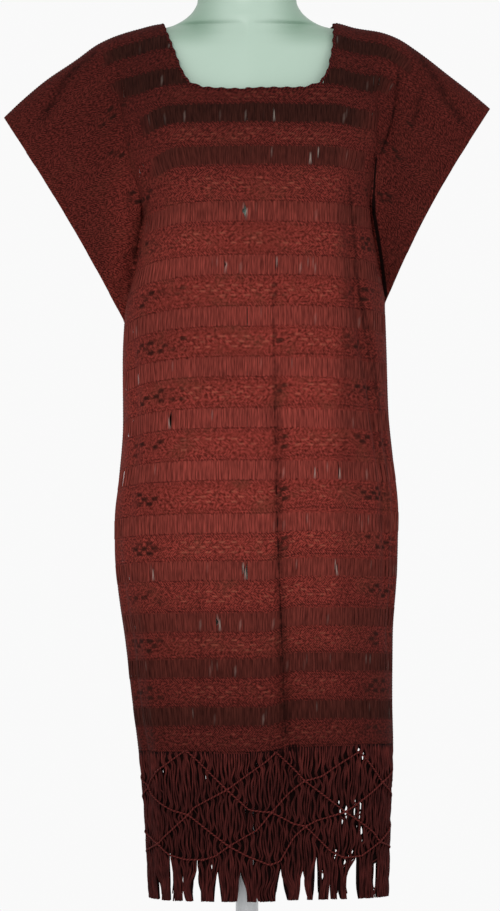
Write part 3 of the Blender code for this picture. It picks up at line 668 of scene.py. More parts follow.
# %% [markdown]
# ## Solid strips
#
# A strip is a thin shell: one grid of points in the middle of the cloth, pushed half the
# cloth's thickness out and in, with a rim all round. The columns are shared out between the
# body and the sleeve, so that a column line always lies in the fold under the arm.

# %% Grid of a strip
CLOTH, CUFF_HEM, ROW_STEP = 0.0009, 0.009, 0.0048
BODY_STEPS, FLAP_STEPS = np.linspace(0.0, 1.0, 85), np.linspace(0.0, 1.0, 37)[1:]


def column_shares(fall, inner):
    """Shares from the inner end to the underarm fold in even steps, then on to the cuff."""
    fold = underarm_share(min(fall / ARMHOLE_FALL, 1.0))
    return np.concatenate([inner + (fold - inner) * BODY_STEPS, fold + (1 - fold) * FLAP_STEPS])


def row_places(top, low):
    """Falls of the rows of a strip, closer together by the shoulder, where the cloth is flat."""
    count = max(3, int(math.ceil((low - top) / ROW_STEP)))
    if top == 0.0:
        return low * np.linspace(0.0, 1.0, 2 * count + 3) ** 2
    return np.linspace(top, low, count + 1)


def half_grid(face, side, top, low):
    """Grids (across, fall) of one half of a strip, cut by the neck edge where they meet."""
    neck_low = neck_fall(np.array([0.0]), face)[0]
    levels = row_places(top, low)
    shares = np.array([
        column_shares(level, neck_share(level, side, face) if low < neck_low else 0.0)
        for level in levels])
    fall = np.repeat(levels[:, None], shares.shape[1], axis=1)
    if top < neck_low <= low:
        start = np.maximum(top, neck_fall(side * shares[0], face))
        fall = start + (low - start) * ((levels - top) / (low - top))[:, None]
    return side * shares, fall + row_drop(side * shares, fall)


def cloth_grid(across, fall, face, side):
    """A grid of the cloth with what each point knows. At a seam the normal lies in its plane."""
    points, normal = folded_points(across, fall, face)
    seam = (fall == 0) | ((np.abs(across) == 1) & (fall >= ARMHOLE_FALL))
    normal[..., 1] = np.where(seam, 0.0, normal[..., 1])
    weft = [np.interp(abs(a), *weft_distance(f.mean(), side, face)) * side
            for a, f in zip(across, fall)]
    return {"points": points, "normal": unit(normal), "fall": fall, "weft": np.array(weft),
            "warp": np.interp(fall, *WARP_DOWN[face]), "turned": (face == BACK) != (side < 0)}


def strip_grids(face, number):
    """Both halves of a strip, cut in two where it passes the end of the armhole."""
    top, low = strip_edges[number]
    cuts = [top, ARMHOLE_FALL, low] if top < ARMHOLE_FALL < low else [top, low]
    down = np.interp([top, low], *WARP_DOWN[face])
    found = []
    for upper, lower in zip(cuts, cuts[1:]):
        for side in HANDS:
            columns = slice(len(BODY_STEPS) if upper >= ARMHOLE_FALL else None)
            across, fall = (grid[:, columns] for grid in half_grid(face, side, upper, lower))
            grid = cloth_grid(across, fall, face, side)
            grid["from_middle"] = grid["warp"] - down.mean()
            grid["half_height"] = np.full_like(fall, (down[1] - down[0]) / 2)
            found.append(grid)
    return found


# %% [markdown]
# The grids of a panel touch one another along their edges. There they are made one, so that
# a strip is a single closed wall, with no seam inside it.

# %% From grids to a shell


def quads_of(grid):
    """Corner numbers of a grid's cells, facing out of the front, or the other way if turned."""
    index = np.arange(grid["fall"].size).reshape(grid["fall"].shape)
    quads = np.stack([index[:-1, :-1], index[1:, :-1], index[1:, 1:], index[:-1, 1:]], axis=-1)
    quads = quads.reshape(-1, 4)
    return quads[:, ::-1] if grid["turned"] else quads


def shell(grids, thickness):
    """A closed wall of cloth from grids, whose shared edges are made one.

    It has the outer skin, the inner skin turned round, and a rim on open edges.
    """
    starts = np.cumsum([0] + [grid["fall"].size for grid in grids])
    cells = np.concatenate([quads_of(grid) + start for grid, start in zip(grids, starts)])
    values = {key: np.concatenate([grid[key].reshape(grid["fall"].size, -1) for grid in grids])
              for key in grids[0] if key != "turned"}
    _, first, index = np.unique(
        np.round(values["points"], 7), axis=0, return_index=True, return_inverse=True)
    cells, count = index.reshape(-1)[cells], len(first)
    values = {key: value[first] for key, value in values.items()}
    edges = np.stack([cells.reshape(-1), np.roll(cells, -1, axis=1).reshape(-1)], axis=1)
    edges = edges[edges[:, 0] != edges[:, 1]]
    rim = edges[~np.isin(edges @ [1, count], edges @ [count, 1])]
    sides = np.stack([rim[:, 1], rim[:, 0], rim[:, 0] + count, rim[:, 1] + count], axis=1)
    quads = np.concatenate([cells, cells[:, ::-1] + count, sides])
    spare = quads == np.roll(quads, -1, axis=1)
    pointed = spare.any(axis=1)
    faces = [quad[~own].tolist() for quad, own in zip(quads[pointed], spare[pointed])]
    half = values.pop("normal") * thickness / 2
    made = {key: np.concatenate([value, value]).reshape(-1) for key, value in values.items()}
    made["points"] = np.concatenate([values["points"] + half, values["points"] - half])
    made["faces"] = quads[~pointed].tolist() + [face for face in faces if len(face) > 2]
    return made


# %% [markdown]
# ## Warp threads of the openwork
#
# In an openwork row the bare warp gathers in small bundles, side by side, a little uneven in
# width and slant. Each bundle is a thread of four flat sides that runs from one strip to the
# next and ends inside both. Where the cloth is worn, the bundles have parted and left a hole.

# %% Bundles of warp
BUNDLE_PITCH, BUNDLE_HALF, BUNDLE_DEEP = 0.0028, 0.00170, 0.00055
BUNDLE_STAGGER, BUNDLE_TUCK, SHORTEST_BUNDLE = 0.00030, 0.0012, 0.002
PLACE_ERROR, LEAN_ERROR, WIDTH_RANGE = 0.0002, 0.0003, (0.84, 1.10)
WIDEST_STRETCH, SLEEVE_SWELL, BARE_SHRINK, HOLE_FROM = 2.6, 0.12, 0.62, 0.0016
FAINT_FROM, FAINT_GAIN, FAINT_MOST = 0.95, 8.0, 0.3
BUNDLE_LEVELS = np.array([0.0, 0.30, 0.50, 0.70, 1.0])
# How far each level moves aside, at a worn hole and at a parting
BUNDLE_BENDS = np.array([[0.0, 0.35, 1.0, 0.35, 0.0], [0.0, 0.9, 1.0, 0.9, 0.0]])
# Where down a bundle a fleck shows: high up, or low down
FLECK_LEVELS = np.array([[0.0, 1.0, 0.6, 0.0, 0.0], [0.0, 0.0, 0.8, 1.0, 0.0]])
# Openwork row, distance from the centre, half width of the gap: a worn hole and some partings
WORN_GAPS = (
    (4, -2.2, 3.4), (5, -24, 0.4), (3, 96, 0.4), (8, -86, 0.7), (9, 78, 0.4), (11, 103, 0.5),
    (12, -33, 1), (1, 154, 0.4),
)
# Openwork row, distance from the centre: bundles that have lost their dye
BARE_THREADS = (
    (4, -4), (4, -1), (3, 69), (3, 77), (3, 99), (2, 29), (5, -24), (5, 33), (8, -86), (9, 75),
    (9, 103), (10, 99), (11, -108), (11, -3), (11, 101), (12, -31), (12, 90),
)
# Fall, how far from the centre the openwork stays open on the left and on the right
OPEN_UNTIL = np.array([
    (0, 168, 190), (30, 165, 189), (60, 155, 166), (100, 125, 152), (150, 112, 136),
    (210, 118, 142), (270, 134, 150), (290, 300, 300),
]) / 1000


def sleeve_part(x, fall):
    """0 where the openwork is open, and 1 on the sleeve, where its bundles lie close."""
    return ramp(np.abs(x) - sided(straight_curve, OPEN_UNTIL, (1, 2), x, fall), -0.024, 0.010)


def bundle_places(face, number, chance):
    """By side: weft distances of one row's bundles, their half widths, and the weft's table."""
    found = []
    for side in HANDS:
        share, distance = weft_distance(ROW_FALLS[number], side, face)
        count = int(distance[-1] / BUNDLE_PITCH)
        place = (np.arange(count) + 0.5) * distance[-1] / count
        place = place + chance.normal(0, PLACE_ERROR, count)
        half = BUNDLE_HALF * chance.uniform(*WIDTH_RANGE, count)
        found.append((side, place, half, share, distance))
    return found


def disturbed(place, half, side, number):
    """How far the front's gaps push each bundle aside, and which bundles are bare."""
    aside, bare = np.zeros_like(place), np.zeros_like(place)
    for row, middle, gap in WORN_GAPS:
        away = place - middle * side / 1000
        push = np.clip(gap / 1000 + half - np.abs(away), 0.0, None) * (row == number)
        aside += np.where(away < 0, -push, push)
    for row, middle in BARE_THREADS:
        bare += (np.abs(place - middle * side / 1000) < BUNDLE_PITCH / 2) * (row == number)
    return aside, bare


def bundle_frame(middle):
    """Unit vectors beside each bundle, and how far its neighbours are, in pitches.

    Both are taken square to the thread: the first from the neighbours on both sides, the
    second at the ends, from the further neighbour.
    """
    run = unit(np.gradient(middle, axis=0))
    beside = unit(square_to(np.gradient(middle, axis=1), run))
    step = square_to(np.diff(middle[[0, -1]], axis=1), run[[0, -1], 1:])
    step = np.linalg.norm(step, axis=-1).max(axis=0) / BUNDLE_PITCH
    return beside, np.maximum(np.append(step, 1.0), np.append(1.0, step))


def tube_faces(count, length, sides):
    """Faces of tubes whose points run ring by ring: four-cornered walls, and the end caps."""
    first = (np.arange(count) * length * sides)[:, None]
    corner = np.arange(sides)
    ring = (np.arange(length - 1) * sides)[:, None] + corner
    after = ring + (corner + 1) % sides - corner
    walls = np.stack([ring, after, after + sides, ring + sides], axis=-1).reshape(-1, 4)
    caps = np.concatenate([first + corner[::-1], first + (length - 1) * sides + corner])
    return (first[..., None] + walls).reshape(-1, 4), caps


def bundle_part(face, number, chance):
    """The bundles of one row as one part, with finish 0 on the sleeves and 1 elsewhere.

    A gap pushes the bundles next to it aside half way down, so that it opens as a diamond.
    """
    top, low = row_edges[number]
    steps, outward = BUNDLE_LEVELS[:, None], -face
    found = {key: [] for key in ("points", "weft", "warp", "bare", "sleeve", "flank")}
    for side, place, half, share, distance in bundle_places(face, number, chance):
        aside, bare = np.zeros((2, len(place)))
        if face == FRONT:
            aside, bare = disturbed(place, half, side, number)
        start = np.maximum(top, neck_fall(side * np.interp(place, distance, share), face))
        kept = start < low - SHORTEST_BUNDLE
        place, half, start, aside, bare = (v[kept] for v in (place, half, start, aside, bare))
        order = np.arange(len(place))
        level = start + (low - start) * steps
        level[0] -= BUNDLE_TUCK * (start == top)
        level[-1] += BUNDLE_TUCK
        lean = chance.normal(0, LEAN_ERROR, (2, len(place)))
        bend = np.where(np.abs(aside) > HOLE_FROM, *BUNDLE_BENDS[:, :, None])
        along = place + lean[0] + (lean[1] - lean[0]) * steps + aside * bend
        along = np.minimum(along, distance[-1] - half)
        across = side * np.interp(along, distance, share)
        level = level + row_drop(across, level)
        middle, normal = folded_points(across, level, face)
        sleeve = sleeve_part(middle[..., 0], level)
        beside, stretch = bundle_frame(middle)
        half = half * np.clip(stretch, 1.0, WIDEST_STRETCH) * (1 + SLEEVE_SWELL * sleeve[2])
        wide = half * (1 - BARE_SHRINK * np.minimum(bare, 1.0) * bend)
        faint = (chance.uniform(0.0, 1.0, len(place)) - FAINT_FROM) * FAINT_GAIN
        faint = np.clip(faint, 0.0, FAINT_MOST) * (1 - sleeve[2])
        patch = np.where(order % 2, *FLECK_LEVELS[:, :, None])
        fleck = np.maximum((faint * patch)[..., None] * [0.0, 1.0, 0.0, 0.0],
                           (bare * patch * bend)[..., None] * [0.7, 1.0, 0.7, 1.0])
        middle = middle + normal * (BUNDLE_STAGGER * (-1.0) ** order)[:, None]
        arm = beside * (side * outward * wide)[..., None]
        ring = np.stack([arm, normal * BUNDLE_DEEP, -arm, -normal * BUNDLE_DEEP], axis=2)
        values = {
            "points": middle[:, :, None] + ring,
            "weft": (along * side)[..., None] + wide[..., None] * [outward, 0, -outward, 0],
            "warp": np.interp(level, *WARP_DOWN[face])[..., None], "bare": fleck,
            "sleeve": sleeve[..., None], "flank": np.array([1.0, 0.0, 1.0, 0.0]),
        }
        for key, value in values.items():
            value = value if key == "points" else np.broadcast_to(value, fleck.shape)
            found[key].append(np.swapaxes(value, 0, 1).reshape(-1, *value.shape[3:]))
    part = {key: np.concatenate(value) for key, value in found.items()}
    length = len(BUNDLE_LEVELS)
    quads = np.concatenate(tube_faces(len(part["points"]) // (4 * length), length, 4))
    part["finish"] = 1 - (part["sleeve"][quads[:, 0]] > 0.5)
    part["faces"] = (quads[:, ::-1] if face == BACK else quads).tolist()
    return part


# %% [markdown]
# Every piece is built from parts. A part has points, faces, sometimes the number of each
# face's finish, and values for each point, which its finish reads. Weft and warp, in
# metres, become its UV map.

# %% From parts to a piece
NOT_VALUES = {"points", "faces", "finish", "weft", "warp", "fall"}


def merged(parts):
    """Several parts as one: everything in a row, and corner numbers moved on."""
    starts = np.cumsum([0] + [len(part["points"]) for part in parts])
    faces = [[corner + start for corner in face]
             for part, start in zip(parts, starts.tolist()) for face in part["faces"]]
    keys = [key for key in parts[0] if key != "faces"]
    return {"faces": faces, **{key: np.concatenate([part[key] for part in parts]) for key in keys}}


def new_piece(name, part, finishes, node=None, smooth_angle=40):
    """A mesh object of a part, shaded smooth except at sharp edges.

    It rides on the dress, has its material slot, and stands for a CAD node where one is named.
    """
    mesh = bpy.data.meshes.new(name)
    mesh.from_pydata(part["points"].tolist(), [], part["faces"])
    for finish in finishes:
        mesh.materials.append(finish)
    mesh.shade_smooth()
    mesh.set_sharp_from_angle(angle=math.radians(smooth_angle))
    if "finish" in part:
        mesh.polygons.foreach_set("material_index", part["finish"].astype(np.int32))
    if "weft" in part:
        corners = np.empty(len(mesh.loops), np.int32)
        mesh.loops.foreach_get("vertex_index", corners)
        pair = np.stack([part["weft"], part["warp"]], axis=1)[corners].astype(np.float32)
        mesh.uv_layers.new(name="cloth").data.foreach_set("uv", pair.reshape(-1))
    for key in sorted(set(part) - NOT_VALUES):
        layer = mesh.attributes.new(key, "FLOAT", "POINT")
        layer.data.foreach_set("value", np.ascontiguousarray(part[key], np.float32))
    obj = in_scene(name, mesh)
    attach(obj, "root")
    if node:
        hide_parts(node)
    print(f"{name}: {sum(len(face) - 2 for face in part['faces'])} triangles")
    return obj


# %% [markdown]
# ## The red cloth
#
# The weave is too fine to model thread by thread, so the finish makes it, in measures of
# the cloth. Speckles of lighter and darker weft make the ground. Slanting lines, like small
# herringbone, run along the edges of each strip, with two rows of hemstitch holes. In the
# middle, three staggered rows of raised floats repeat every 14 mm.

# %% Weave group
FLOAT_PITCH, FLOAT_ROW, ROWS_APART = 0.0140, 0.0054, 0.056
HOLE_PITCH, SLANT_PITCH, SLANT_BAND = 0.0033, 0.0027, 0.0068
# Half height, where a mark fades across, and the share of marks that stay faint: for the
# raised floats and for the blots that carry their painted shade
MARKS = (0.0018, 0.16, 0.28, 0.25), (0.0052, 0.16, 0.46, 0.30)

weave, (weft, warp, edge, middle), result = new_group(
    "weave", {"Weft": 0.0, "Warp": 0.0, "Edge": 0.01, "From middle": 0.0},
    ["Height", "Thread", "Float", "Blot", "Hole"])


def thread_noise(first, second, detail=2.0):
    """Noise over two distances on the cloth that have been stretched."""
    return noise(vector(first, second), 1.0, detail, 0.6)


speckle = thread_noise(weft * 300.0, warp * 560.0)
parity = (edge / SLANT_BAND).math("FLOOR").math("MODULO", 2.0) * 2.0 - 1.0
wobble = thread_noise(weft * 60.0, warp * 90.0) - 0.5
leaning = warp * parity
slant = weft + leaning
streak = thread_noise(slant * 520.0, (weft - leaning) * 190.0, 0.0)
slant = slant + wobble * 0.004
herringbone = (slant * (TURN / SLANT_PITCH)).math("SINE") * rise(edge, 0.0, 0.013, 1.0, 0.60)
thread = speckle * 0.55 + streak * 0.45 + herringbone * 0.10

row = (middle / FLOAT_ROW).math("ROUND")
from_row = middle - row * FLOAT_ROW
in_rows = abs(row).math("LESS_THAN", 1.5)
phase = weft / FLOAT_PITCH + (wobble * 0.5 + row * 0.5)
from_mark = abs(phase.math("FRACT") - 0.5)
which = vector(phase.math("FLOOR"), row, (warp / ROWS_APART).math("ROUND"))
lot = value_of(weave, "ShaderNodeTexWhiteNoise", {"Vector": which}, "Value")
floats, blot = (
    bell(from_row, 0.0, tall) * rise(from_mark, short, long, 1.0, 0.0) * in_rows
    * rise(lot, faint, faint + 0.4, 0.12, 1.0) for tall, short, long, faint in MARKS)

beat = (weft * (TURN / HOLE_PITCH)).math("COSINE")
first_row = bell(edge, 0.0015, 0.0017) * rise(beat, -0.4, 0.5, 0.25, 1.0)
second_row = bell(edge, 0.0050, 0.0016) * rise(beat * -1.0, -0.1, 0.7)
hole = first_row + second_row * 0.75
height = thread * 0.6 + floats * 0.5 - hole * 0.6
feed(result, {"Height": height, "Thread": thread, "Float": floats, "Blot": blot, "Hole": hole})
print("weave group has", len(weave.nodes), "nodes")

# %% [markdown]
# Shade is painted into the creases. A second group draws it from the same lines
# as the shape: a curve node gives the crease's x at each height, and the mask falls off with
# the distance from it. Creases of the front show only in front of the form, and the back's
# only behind it. The darkest ones are slits of painted black shadow, which have no patches.

# %% Crease group
LOW_Z, TALL_Z, LOW_X, WIDE_X = 0.5, 1.0, -0.3, 0.6
REACH_OVER, FADE_IN, NEAR_Y = 0.002, 0.013, -0.02

creases, (place,), result = new_group("creases", {"Place": None}, ["Dark"])
x, y, z = split(place)


def crease_mask(line, half_width):
    """1 on the line, 0 at the half width, with a fade over 15 mm at both ends."""
    curve = put(creases, "ShaderNodeFloatCurve", {"Value": (z - LOW_Z) / TALL_Z})
    spots = [((tall - LOW_Z) / TALL_Z, (out - LOW_X) / WIDE_X) for out, tall in line[::-1]]
    points = curve.mapping.curves[0].points
    points[0].location, points[1].location = spots[0], spots[-1]
    for spot in spots[1:-1]:
        points.new(*spot)
    curve.mapping.update()
    low, high = line[-1][1], line[0][1]
    ends = rise(z, low - REACH_OVER, low + FADE_IN) * rise(
        z, high - FADE_IN, high + REACH_OVER, 1.0, 0.0)
    return bell(x, Value(creases, curve.outputs[0]) * WIDE_X + LOW_X, half_width) * ends


shadow = slit = 0.0
for face, lines in CREASES.items():
    near = (y * float(face)).math("GREATER_THAN", NEAR_Y)
    # Each crease paints shade into the cloth's colour; the darkest ones are painted black slits
    for _, _, darkness, half_width, line in lines:
        mask = crease_mask(line, half_width) * near
        if darkness < 1:
            shadow = (mask * darkness).math("MAXIMUM", shadow)
        else:
            slit = rise(mask, 0.0, 0.55).math("MAXIMUM", slit)
shadow = shadow * rise(noise(place, 130.0), 0.35, 0.62, 0.35, 1.0)
feed(result, {"Dark": shadow.math("MAXIMUM", slit)})
print("crease group has", len(creases.nodes), "nodes")

# %% [markdown]
# The colour is a madder red. It is freshest and darkest on the shoulders, the sleeves and
# towards the hem, and paler over the chest and hips, partly where the cloth is worn and
# partly as painted light, with painted shade on the shoulders and sleeves. The floats carry a
# painted highlight in the middle of the panel and painted shade at its sides, so their colour
# follows values stored on the cloth.

# %% Cloth and warp finishes
# Tones of a deep thread and of the same one paled by wear and painted light, then of a bright
# thread and of it paled the same way
RED = ((0.0140, 0.0026, 0.0020), (0.0640, 0.0094, 0.0070),
       (0.0670, 0.0106, 0.0086), (0.2480, 0.0370, 0.0276))
WARP_RED = ((0.0074, 0.0022, 0.0016), (0.0800, 0.0130, 0.0096),
            (0.0330, 0.0094, 0.0066), (0.2750, 0.0480, 0.0360))
FRINGE_RED = ((0.0080, 0.0019, 0.0018), (0.0200, 0.0042, 0.0036),
              (0.0560, 0.0110, 0.0098), (0.1150, 0.0205, 0.0170))
# Almost black: the strands behind stand in for the shade between the front strands
SHADE_RED = ((0.0020, 0.0006, 0.0006), (0.0030, 0.0008, 0.0007),
             (0.0060, 0.0014, 0.0012), (0.0100, 0.0020, 0.0018))
# Painted highlight and painted shade of the floats
FLOAT_HIGHLIGHT, FLOAT_SHADE = (0.360, 0.100, 0.062), (0.0160, 0.0050, 0.0036)
# Painted shade for the holes, stitches and bundle flanks, and for the creases
HOLE_AND_FLANK_SHADE, PAINTED_CREASE_SHADE = (0.0140, 0.0030, 0.0026), (0.0060, 0.0018, 0.0014)
STAIN, BARE = (0.090, 0.026, 0.015), (0.46, 0.40, 0.35)
HEM_STITCH = 0.0032
COTTON = {"Specular_IOR_Level": 0.04}


def stored(tree, name):
    """A value stored on the points of the mesh."""
    return value_of(tree, "ShaderNodeAttribute", output="Fac", attribute_name=name)


def from_uv(tree):
    """The two distances of the UV map."""
    return split(value_of(tree, "ShaderNodeUVMap", uv_map="cloth"))[:2]


def clouded_wear_and_light(tree):
    """How pale the cloth is from wear and painted light, from 0 to 1, made uneven by clouds."""
    worn = stored(tree, "worn") * ((mottle(tree, 12.0) - 0.5) * 0.5 + 1.0)
    return worn.math("MINIMUM", 1.0).math("MAXIMUM", 0.0)


def thread_colour(share, worn, tones):
    """From deep to bright threads by a share, each paled as far as its wear and painted light go.
    """
    return blend(share, blend(worn, *tones[:2]), blend(worn, *tones[2:]))


def finish_cloth(shader, colour, height, strength, distance):
    """Lay the creases' painted shade over a colour, and link colour and relief to the shader."""
    tree = height.tree
    dark = value_of(tree, "ShaderNodeGroup", {"Place": object_place(tree)}, node_tree=creases)
    feed(shader, {"Base Color": blend(dark, colour, PAINTED_CREASE_SHADE),
                  "Normal": relief(height, strength, distance)})


def red_cloth_finish(name, from_edge=None):
    """Ground, floats, holes, wear, and painted light and shade of the handwoven cloth.

    The strips know how far each point is from its openwork. A turned hem has a line of
    stitches instead, where it says how far each point is from its fold.
    """
    made, tree, shader = new_material(name, 0.9, **COTTON)
    weft, warp = from_uv(tree)
    middle = stored(tree, "from_middle")
    cloth = put(tree, "ShaderNodeGroup", {
        "Weft": weft, "Warp": warp, "Edge": stored(tree, "half_height") - abs(middle),
        "From middle": middle}, node_tree=weave)
    height, thread, floats, blot, hole = (Value(tree, socket) for socket in cloth.outputs)
    worn = clouded_wear_and_light(tree)
    colour = thread_colour(rise(thread, 0.38, 0.65), worn, RED)
    colour = blend(rise(mottle(tree, 34.0, 4.0), 0.48, 0.72, 0.0, 0.42) * worn, colour, STAIN)
    # A painted highlight lightens the floats in the middle, and painted shade darkens them at the
    # sides
    highlight = floats * stored(tree, "pale_floats") * (worn * 0.36 + 0.09)
    colour = blend(highlight, colour, FLOAT_HIGHLIGHT)
    colour = blend(blot * stored(tree, "dark_floats"), colour, FLOAT_SHADE)
    if from_edge:
        beat = (warp * (TURN / HEM_STITCH)).math("SINE")
        hole = bell(stored(tree, from_edge), 0.0013, 0.0009) * rise(beat, -0.3, 0.2)
    else:
        hole = hole * (1.0 - stored(tree, "sleeve") * 0.75)
    # Painted shade in the hemstitch holes, or in the hem's line of stitches
    colour = blend(hole * 0.56, colour, HOLE_AND_FLANK_SHADE)
    finish_cloth(shader, colour, height, 0.9, 0.0007)
    return made


def warp_finish(name, tones, cloth_tones=None):
    """Bare warp: fine streaks down the thread, a tone of its own for each bundle, and painted shade
    on the flanks where the bundles meet.

    On the sleeves the bundles close up, and take the cloth's own tones where given.
    """
    made, tree, shader = new_material(name, 0.88, **COTTON)
    weft, warp = from_uv(tree)
    fine, broad = (noise(vector(weft * across, warp * down), detail=1.0)
                   for across, down in ((820.0, 75.0), (300.0, 22.0)))
    if cloth_tones:
        sleeve = stored(tree, "sleeve")
        tones = [blend(sleeve, own, cloth) for own, cloth in zip(tones, cloth_tones)]
    share = rise(fine * 0.75 + broad * 0.30, 0.20, 0.86)
    colour = thread_colour(share, clouded_wear_and_light(tree), tones)
    # Painted shade on the flanks of each bundle, where it meets its neighbours
    colour = blend(rise(stored(tree, "flank"), 0.45, 1.0, 0.0, 0.42), colour, HOLE_AND_FLANK_SHADE)
    colour = blend(stored(tree, "bare") * 0.40, colour, BARE)
    finish_cloth(shader, colour, fine, 0.7, 0.0004)
    return made


red_cloth = red_cloth_finish("red_cloth_finish")
hem_red = red_cloth_finish("hem_finish", "from_fold")
open_warp = warp_finish("open_warp_finish", WARP_RED, RED)
fringe_warp = warp_finish("fringe_warp_finish", FRINGE_RED)
fringe_shade = warp_finish("fringe_shade_finish", SHADE_RED)
print(len(bpy.data.materials), "finishes so far")

# %% [markdown]
# ## The two panels
#
# Each panel becomes one object: sixteen strips and fifteen rows of warp bundles, with the
# warp's own finish on the bundles. It stands for the CAD panel.

# %% Build the panels
# Height, then how far right the pale part of the front reaches
FRONT_PALE_EDGE = np.array([
    (600, 110), (800, 98), (980, 99), (1060, 104), (1100, 104), (1140, 104), (1180, 102),
    (1240, 120),
]) / 1000
# Half width, and (x, z) points up the places where the floats get painted shade
FLOAT_SHADE_LINES = (
    (20, ((-108, 600), (-112, 760), (-112, 840), (-106, 930), (-104, 1030), (-110, 1090),
          (-120, 1140), (-112, 1190), (-134, 1225), (-150, 1300))),
    (9, ((-74, 930), (-78, 990), (-72, 1060), (-80, 1130))),
    (20, ((145, 600), (148, 760), (140, 860), (130, 980), (122, 1060), (128, 1150), (150, 1210),
          (170, 1280))),
    (7, ((42, 780), (40, 880), (37, 1000), (35, 1120))),
)
# What the weave reads on a bundle's closed end on the sleeve, and the seed of each panel
BUNDLE_MIDDLE, BUNDLE_HEIGHT = 0.015, 0.03
CLOTH_SEEDS = {FRONT: 11, BACK: 12}


def wear_and_light_value(points, face):
    """How pale the cloth is, from 0 to 1: a soft patch over the chest and hips.

    It is partly wear and partly painted light, with painted shade on the shoulders, the
    sleeves and towards the hem, and darker on the right of the front.
    """
    x, z = points[:, 0], points[:, 2]
    value = window(z, 0.53, 0.88, 1.10, 1.345) * (1 - 0.15 * ramp(z, 0.92, 1.12))
    sleeve = ramp(np.abs(x), 0.135, 0.165) * ramp(z, 1.05, 1.12)
    value = value * (1 - 0.18 * ramp(-x, 0.05, 0.13)) * (1 - 0.75 * sleeve) + 0.07 * sleeve
    if face == FRONT:
        past = ramp(x - straight_curve(FRONT_PALE_EDGE, 1, z), -0.012, 0.010)
        past = past * (1 - ramp(z, 1.20, 1.28))
        value = value * (1 - 0.06 * ramp(x, 0.05, 0.09) * ramp(z, 0.7, 0.9))
        value = value * (1 - (0.36 + 0.12 * ramp(z, 0.85, 0.95)) * past)
    return 0.04 + 0.96 * value


def row_shade(points, fall):
    """How pale the bare warp is, beside the cloth: dark in the top rows and towards the hem."""
    shade = (0.12 + 0.88 * ramp(fall, 0.11, 0.20)) * (1 - 0.42 * ramp(fall, 0.50, 0.76))
    beyond = ramp(np.abs(points[:, 0]) + 0.45 * fall, 0.160, 0.185) * (fall < 0.19)
    return shade + (1 - shade) * beyond


def float_shade_value(points):
    """How strong the floats' painted shade is: a bell beside each line, seen along y."""
    x, z = points[:, 0], points[:, 2]
    total = np.zeros(len(points))
    for half_width, line in FLOAT_SHADE_LINES:
        line = np.array(line)[:, ::-1] / 1000
        low, high = line[0, 0], line[-1, 0]
        mask = hump((x - straight_curve(line, 1, z)) / (half_width / 1000), 4)
        mask = mask * window(z, low - 0.02, low + 0.02, high - 0.01, high + 0.02)
        total = np.maximum(total, mask)
    return 0.92 * total


def cloth_part(face):
    """One panel: its strips as thin shells, and the warp bundles between them."""
    chance = np.random.default_rng(CLOTH_SEEDS[face])
    solid = shell([grid for number in range(len(strip_edges))
                   for grid in strip_grids(face, number)], CLOTH)
    solid["sleeve"] = sleeve_part(solid["points"][:, 0], solid.pop("fall"))
    solid["bare"] = solid["flank"] = np.zeros(len(solid["points"]))
    solid["finish"] = np.zeros(len(solid["faces"]))
    solid["worn"] = wear_and_light_value(solid["points"], face)
    parts = [solid]
    for number, fall in enumerate(ROW_FALLS):
        part = bundle_part(face, number, chance)
        shade = row_shade(part["points"], fall)
        shade = shade + (1 - shade) * part["sleeve"]
        part["worn"] = wear_and_light_value(part["points"], face) * shade
        part["from_middle"] = np.full(len(shade), BUNDLE_MIDDLE)
        part["half_height"] = np.full(len(shade), BUNDLE_HEIGHT)
        parts.append(part)
    whole = merged(parts)
    x = whole["points"][:, 0]
    # Painted highlight on the floats across the middle of the panel, painted shade along the lines
    whole["pale_floats"] = 0.85 * window(x, -0.095, -0.060, 0.092, 0.116)
    whole["dark_floats"] = float_shade_value(whole["points"])
    return whole


cloths = {face: new_piece(f"{word}_cloth", cloth_part(face), [red_cloth, open_warp],
                          f"{word}_panel") for face, word in FACES.items()}

# %% [markdown]
# ## Threads and cords
#
# The edging, the net and the fringe are all threads of some kind: a profile carried along a
# path. One function sweeps many of them at once. It takes the paths, a direction that points
# out of the cloth at each point, and how wide and how deep the thread is there.

# %% Sweep threads along paths
CORD_TWIST = 0.0042


def sweep(paths, facing, wide, deep, sides):
    """A part of closed tubes, all with the same number of points.

    At each point of a path the ring is an ellipse: the cosine of the turn times the width,
    beside the path, and the sine times the depth, out of the cloth. The UV is the share of
    the turn and the way along. The faces are turned so that the volume is positive.
    """
    count, length = paths.shape[:2]
    along = unit(np.gradient(paths, axis=1))
    beside = unit(np.cross(facing, along))
    outward = np.cross(along, beside)
    turn = np.arange(sides) * TURN / sides
    ring = beside[:, :, None] * np.cos(turn)[:, None] * wide[:, :, None, None]
    ring = ring + outward[:, :, None] * np.sin(turn)[:, None] * deep[:, :, None, None]
    points = (paths[:, :, None] + ring).reshape(-1, 3)
    walls, caps = tube_faces(count, length, sides)
    a, b, c = points[np.concatenate([walls[:, :3], caps[:, :3]])].transpose(1, 0, 2)
    if (a * np.cross(b, c)).sum() < 0:
        walls, caps = walls[:, ::-1], caps[:, ::-1]
    return {"points": points, "faces": walls.tolist() + caps.tolist(),
            "weft": np.tile(turn / TURN, count * length),
            "warp": np.repeat(run_length(paths).reshape(-1), sides)}


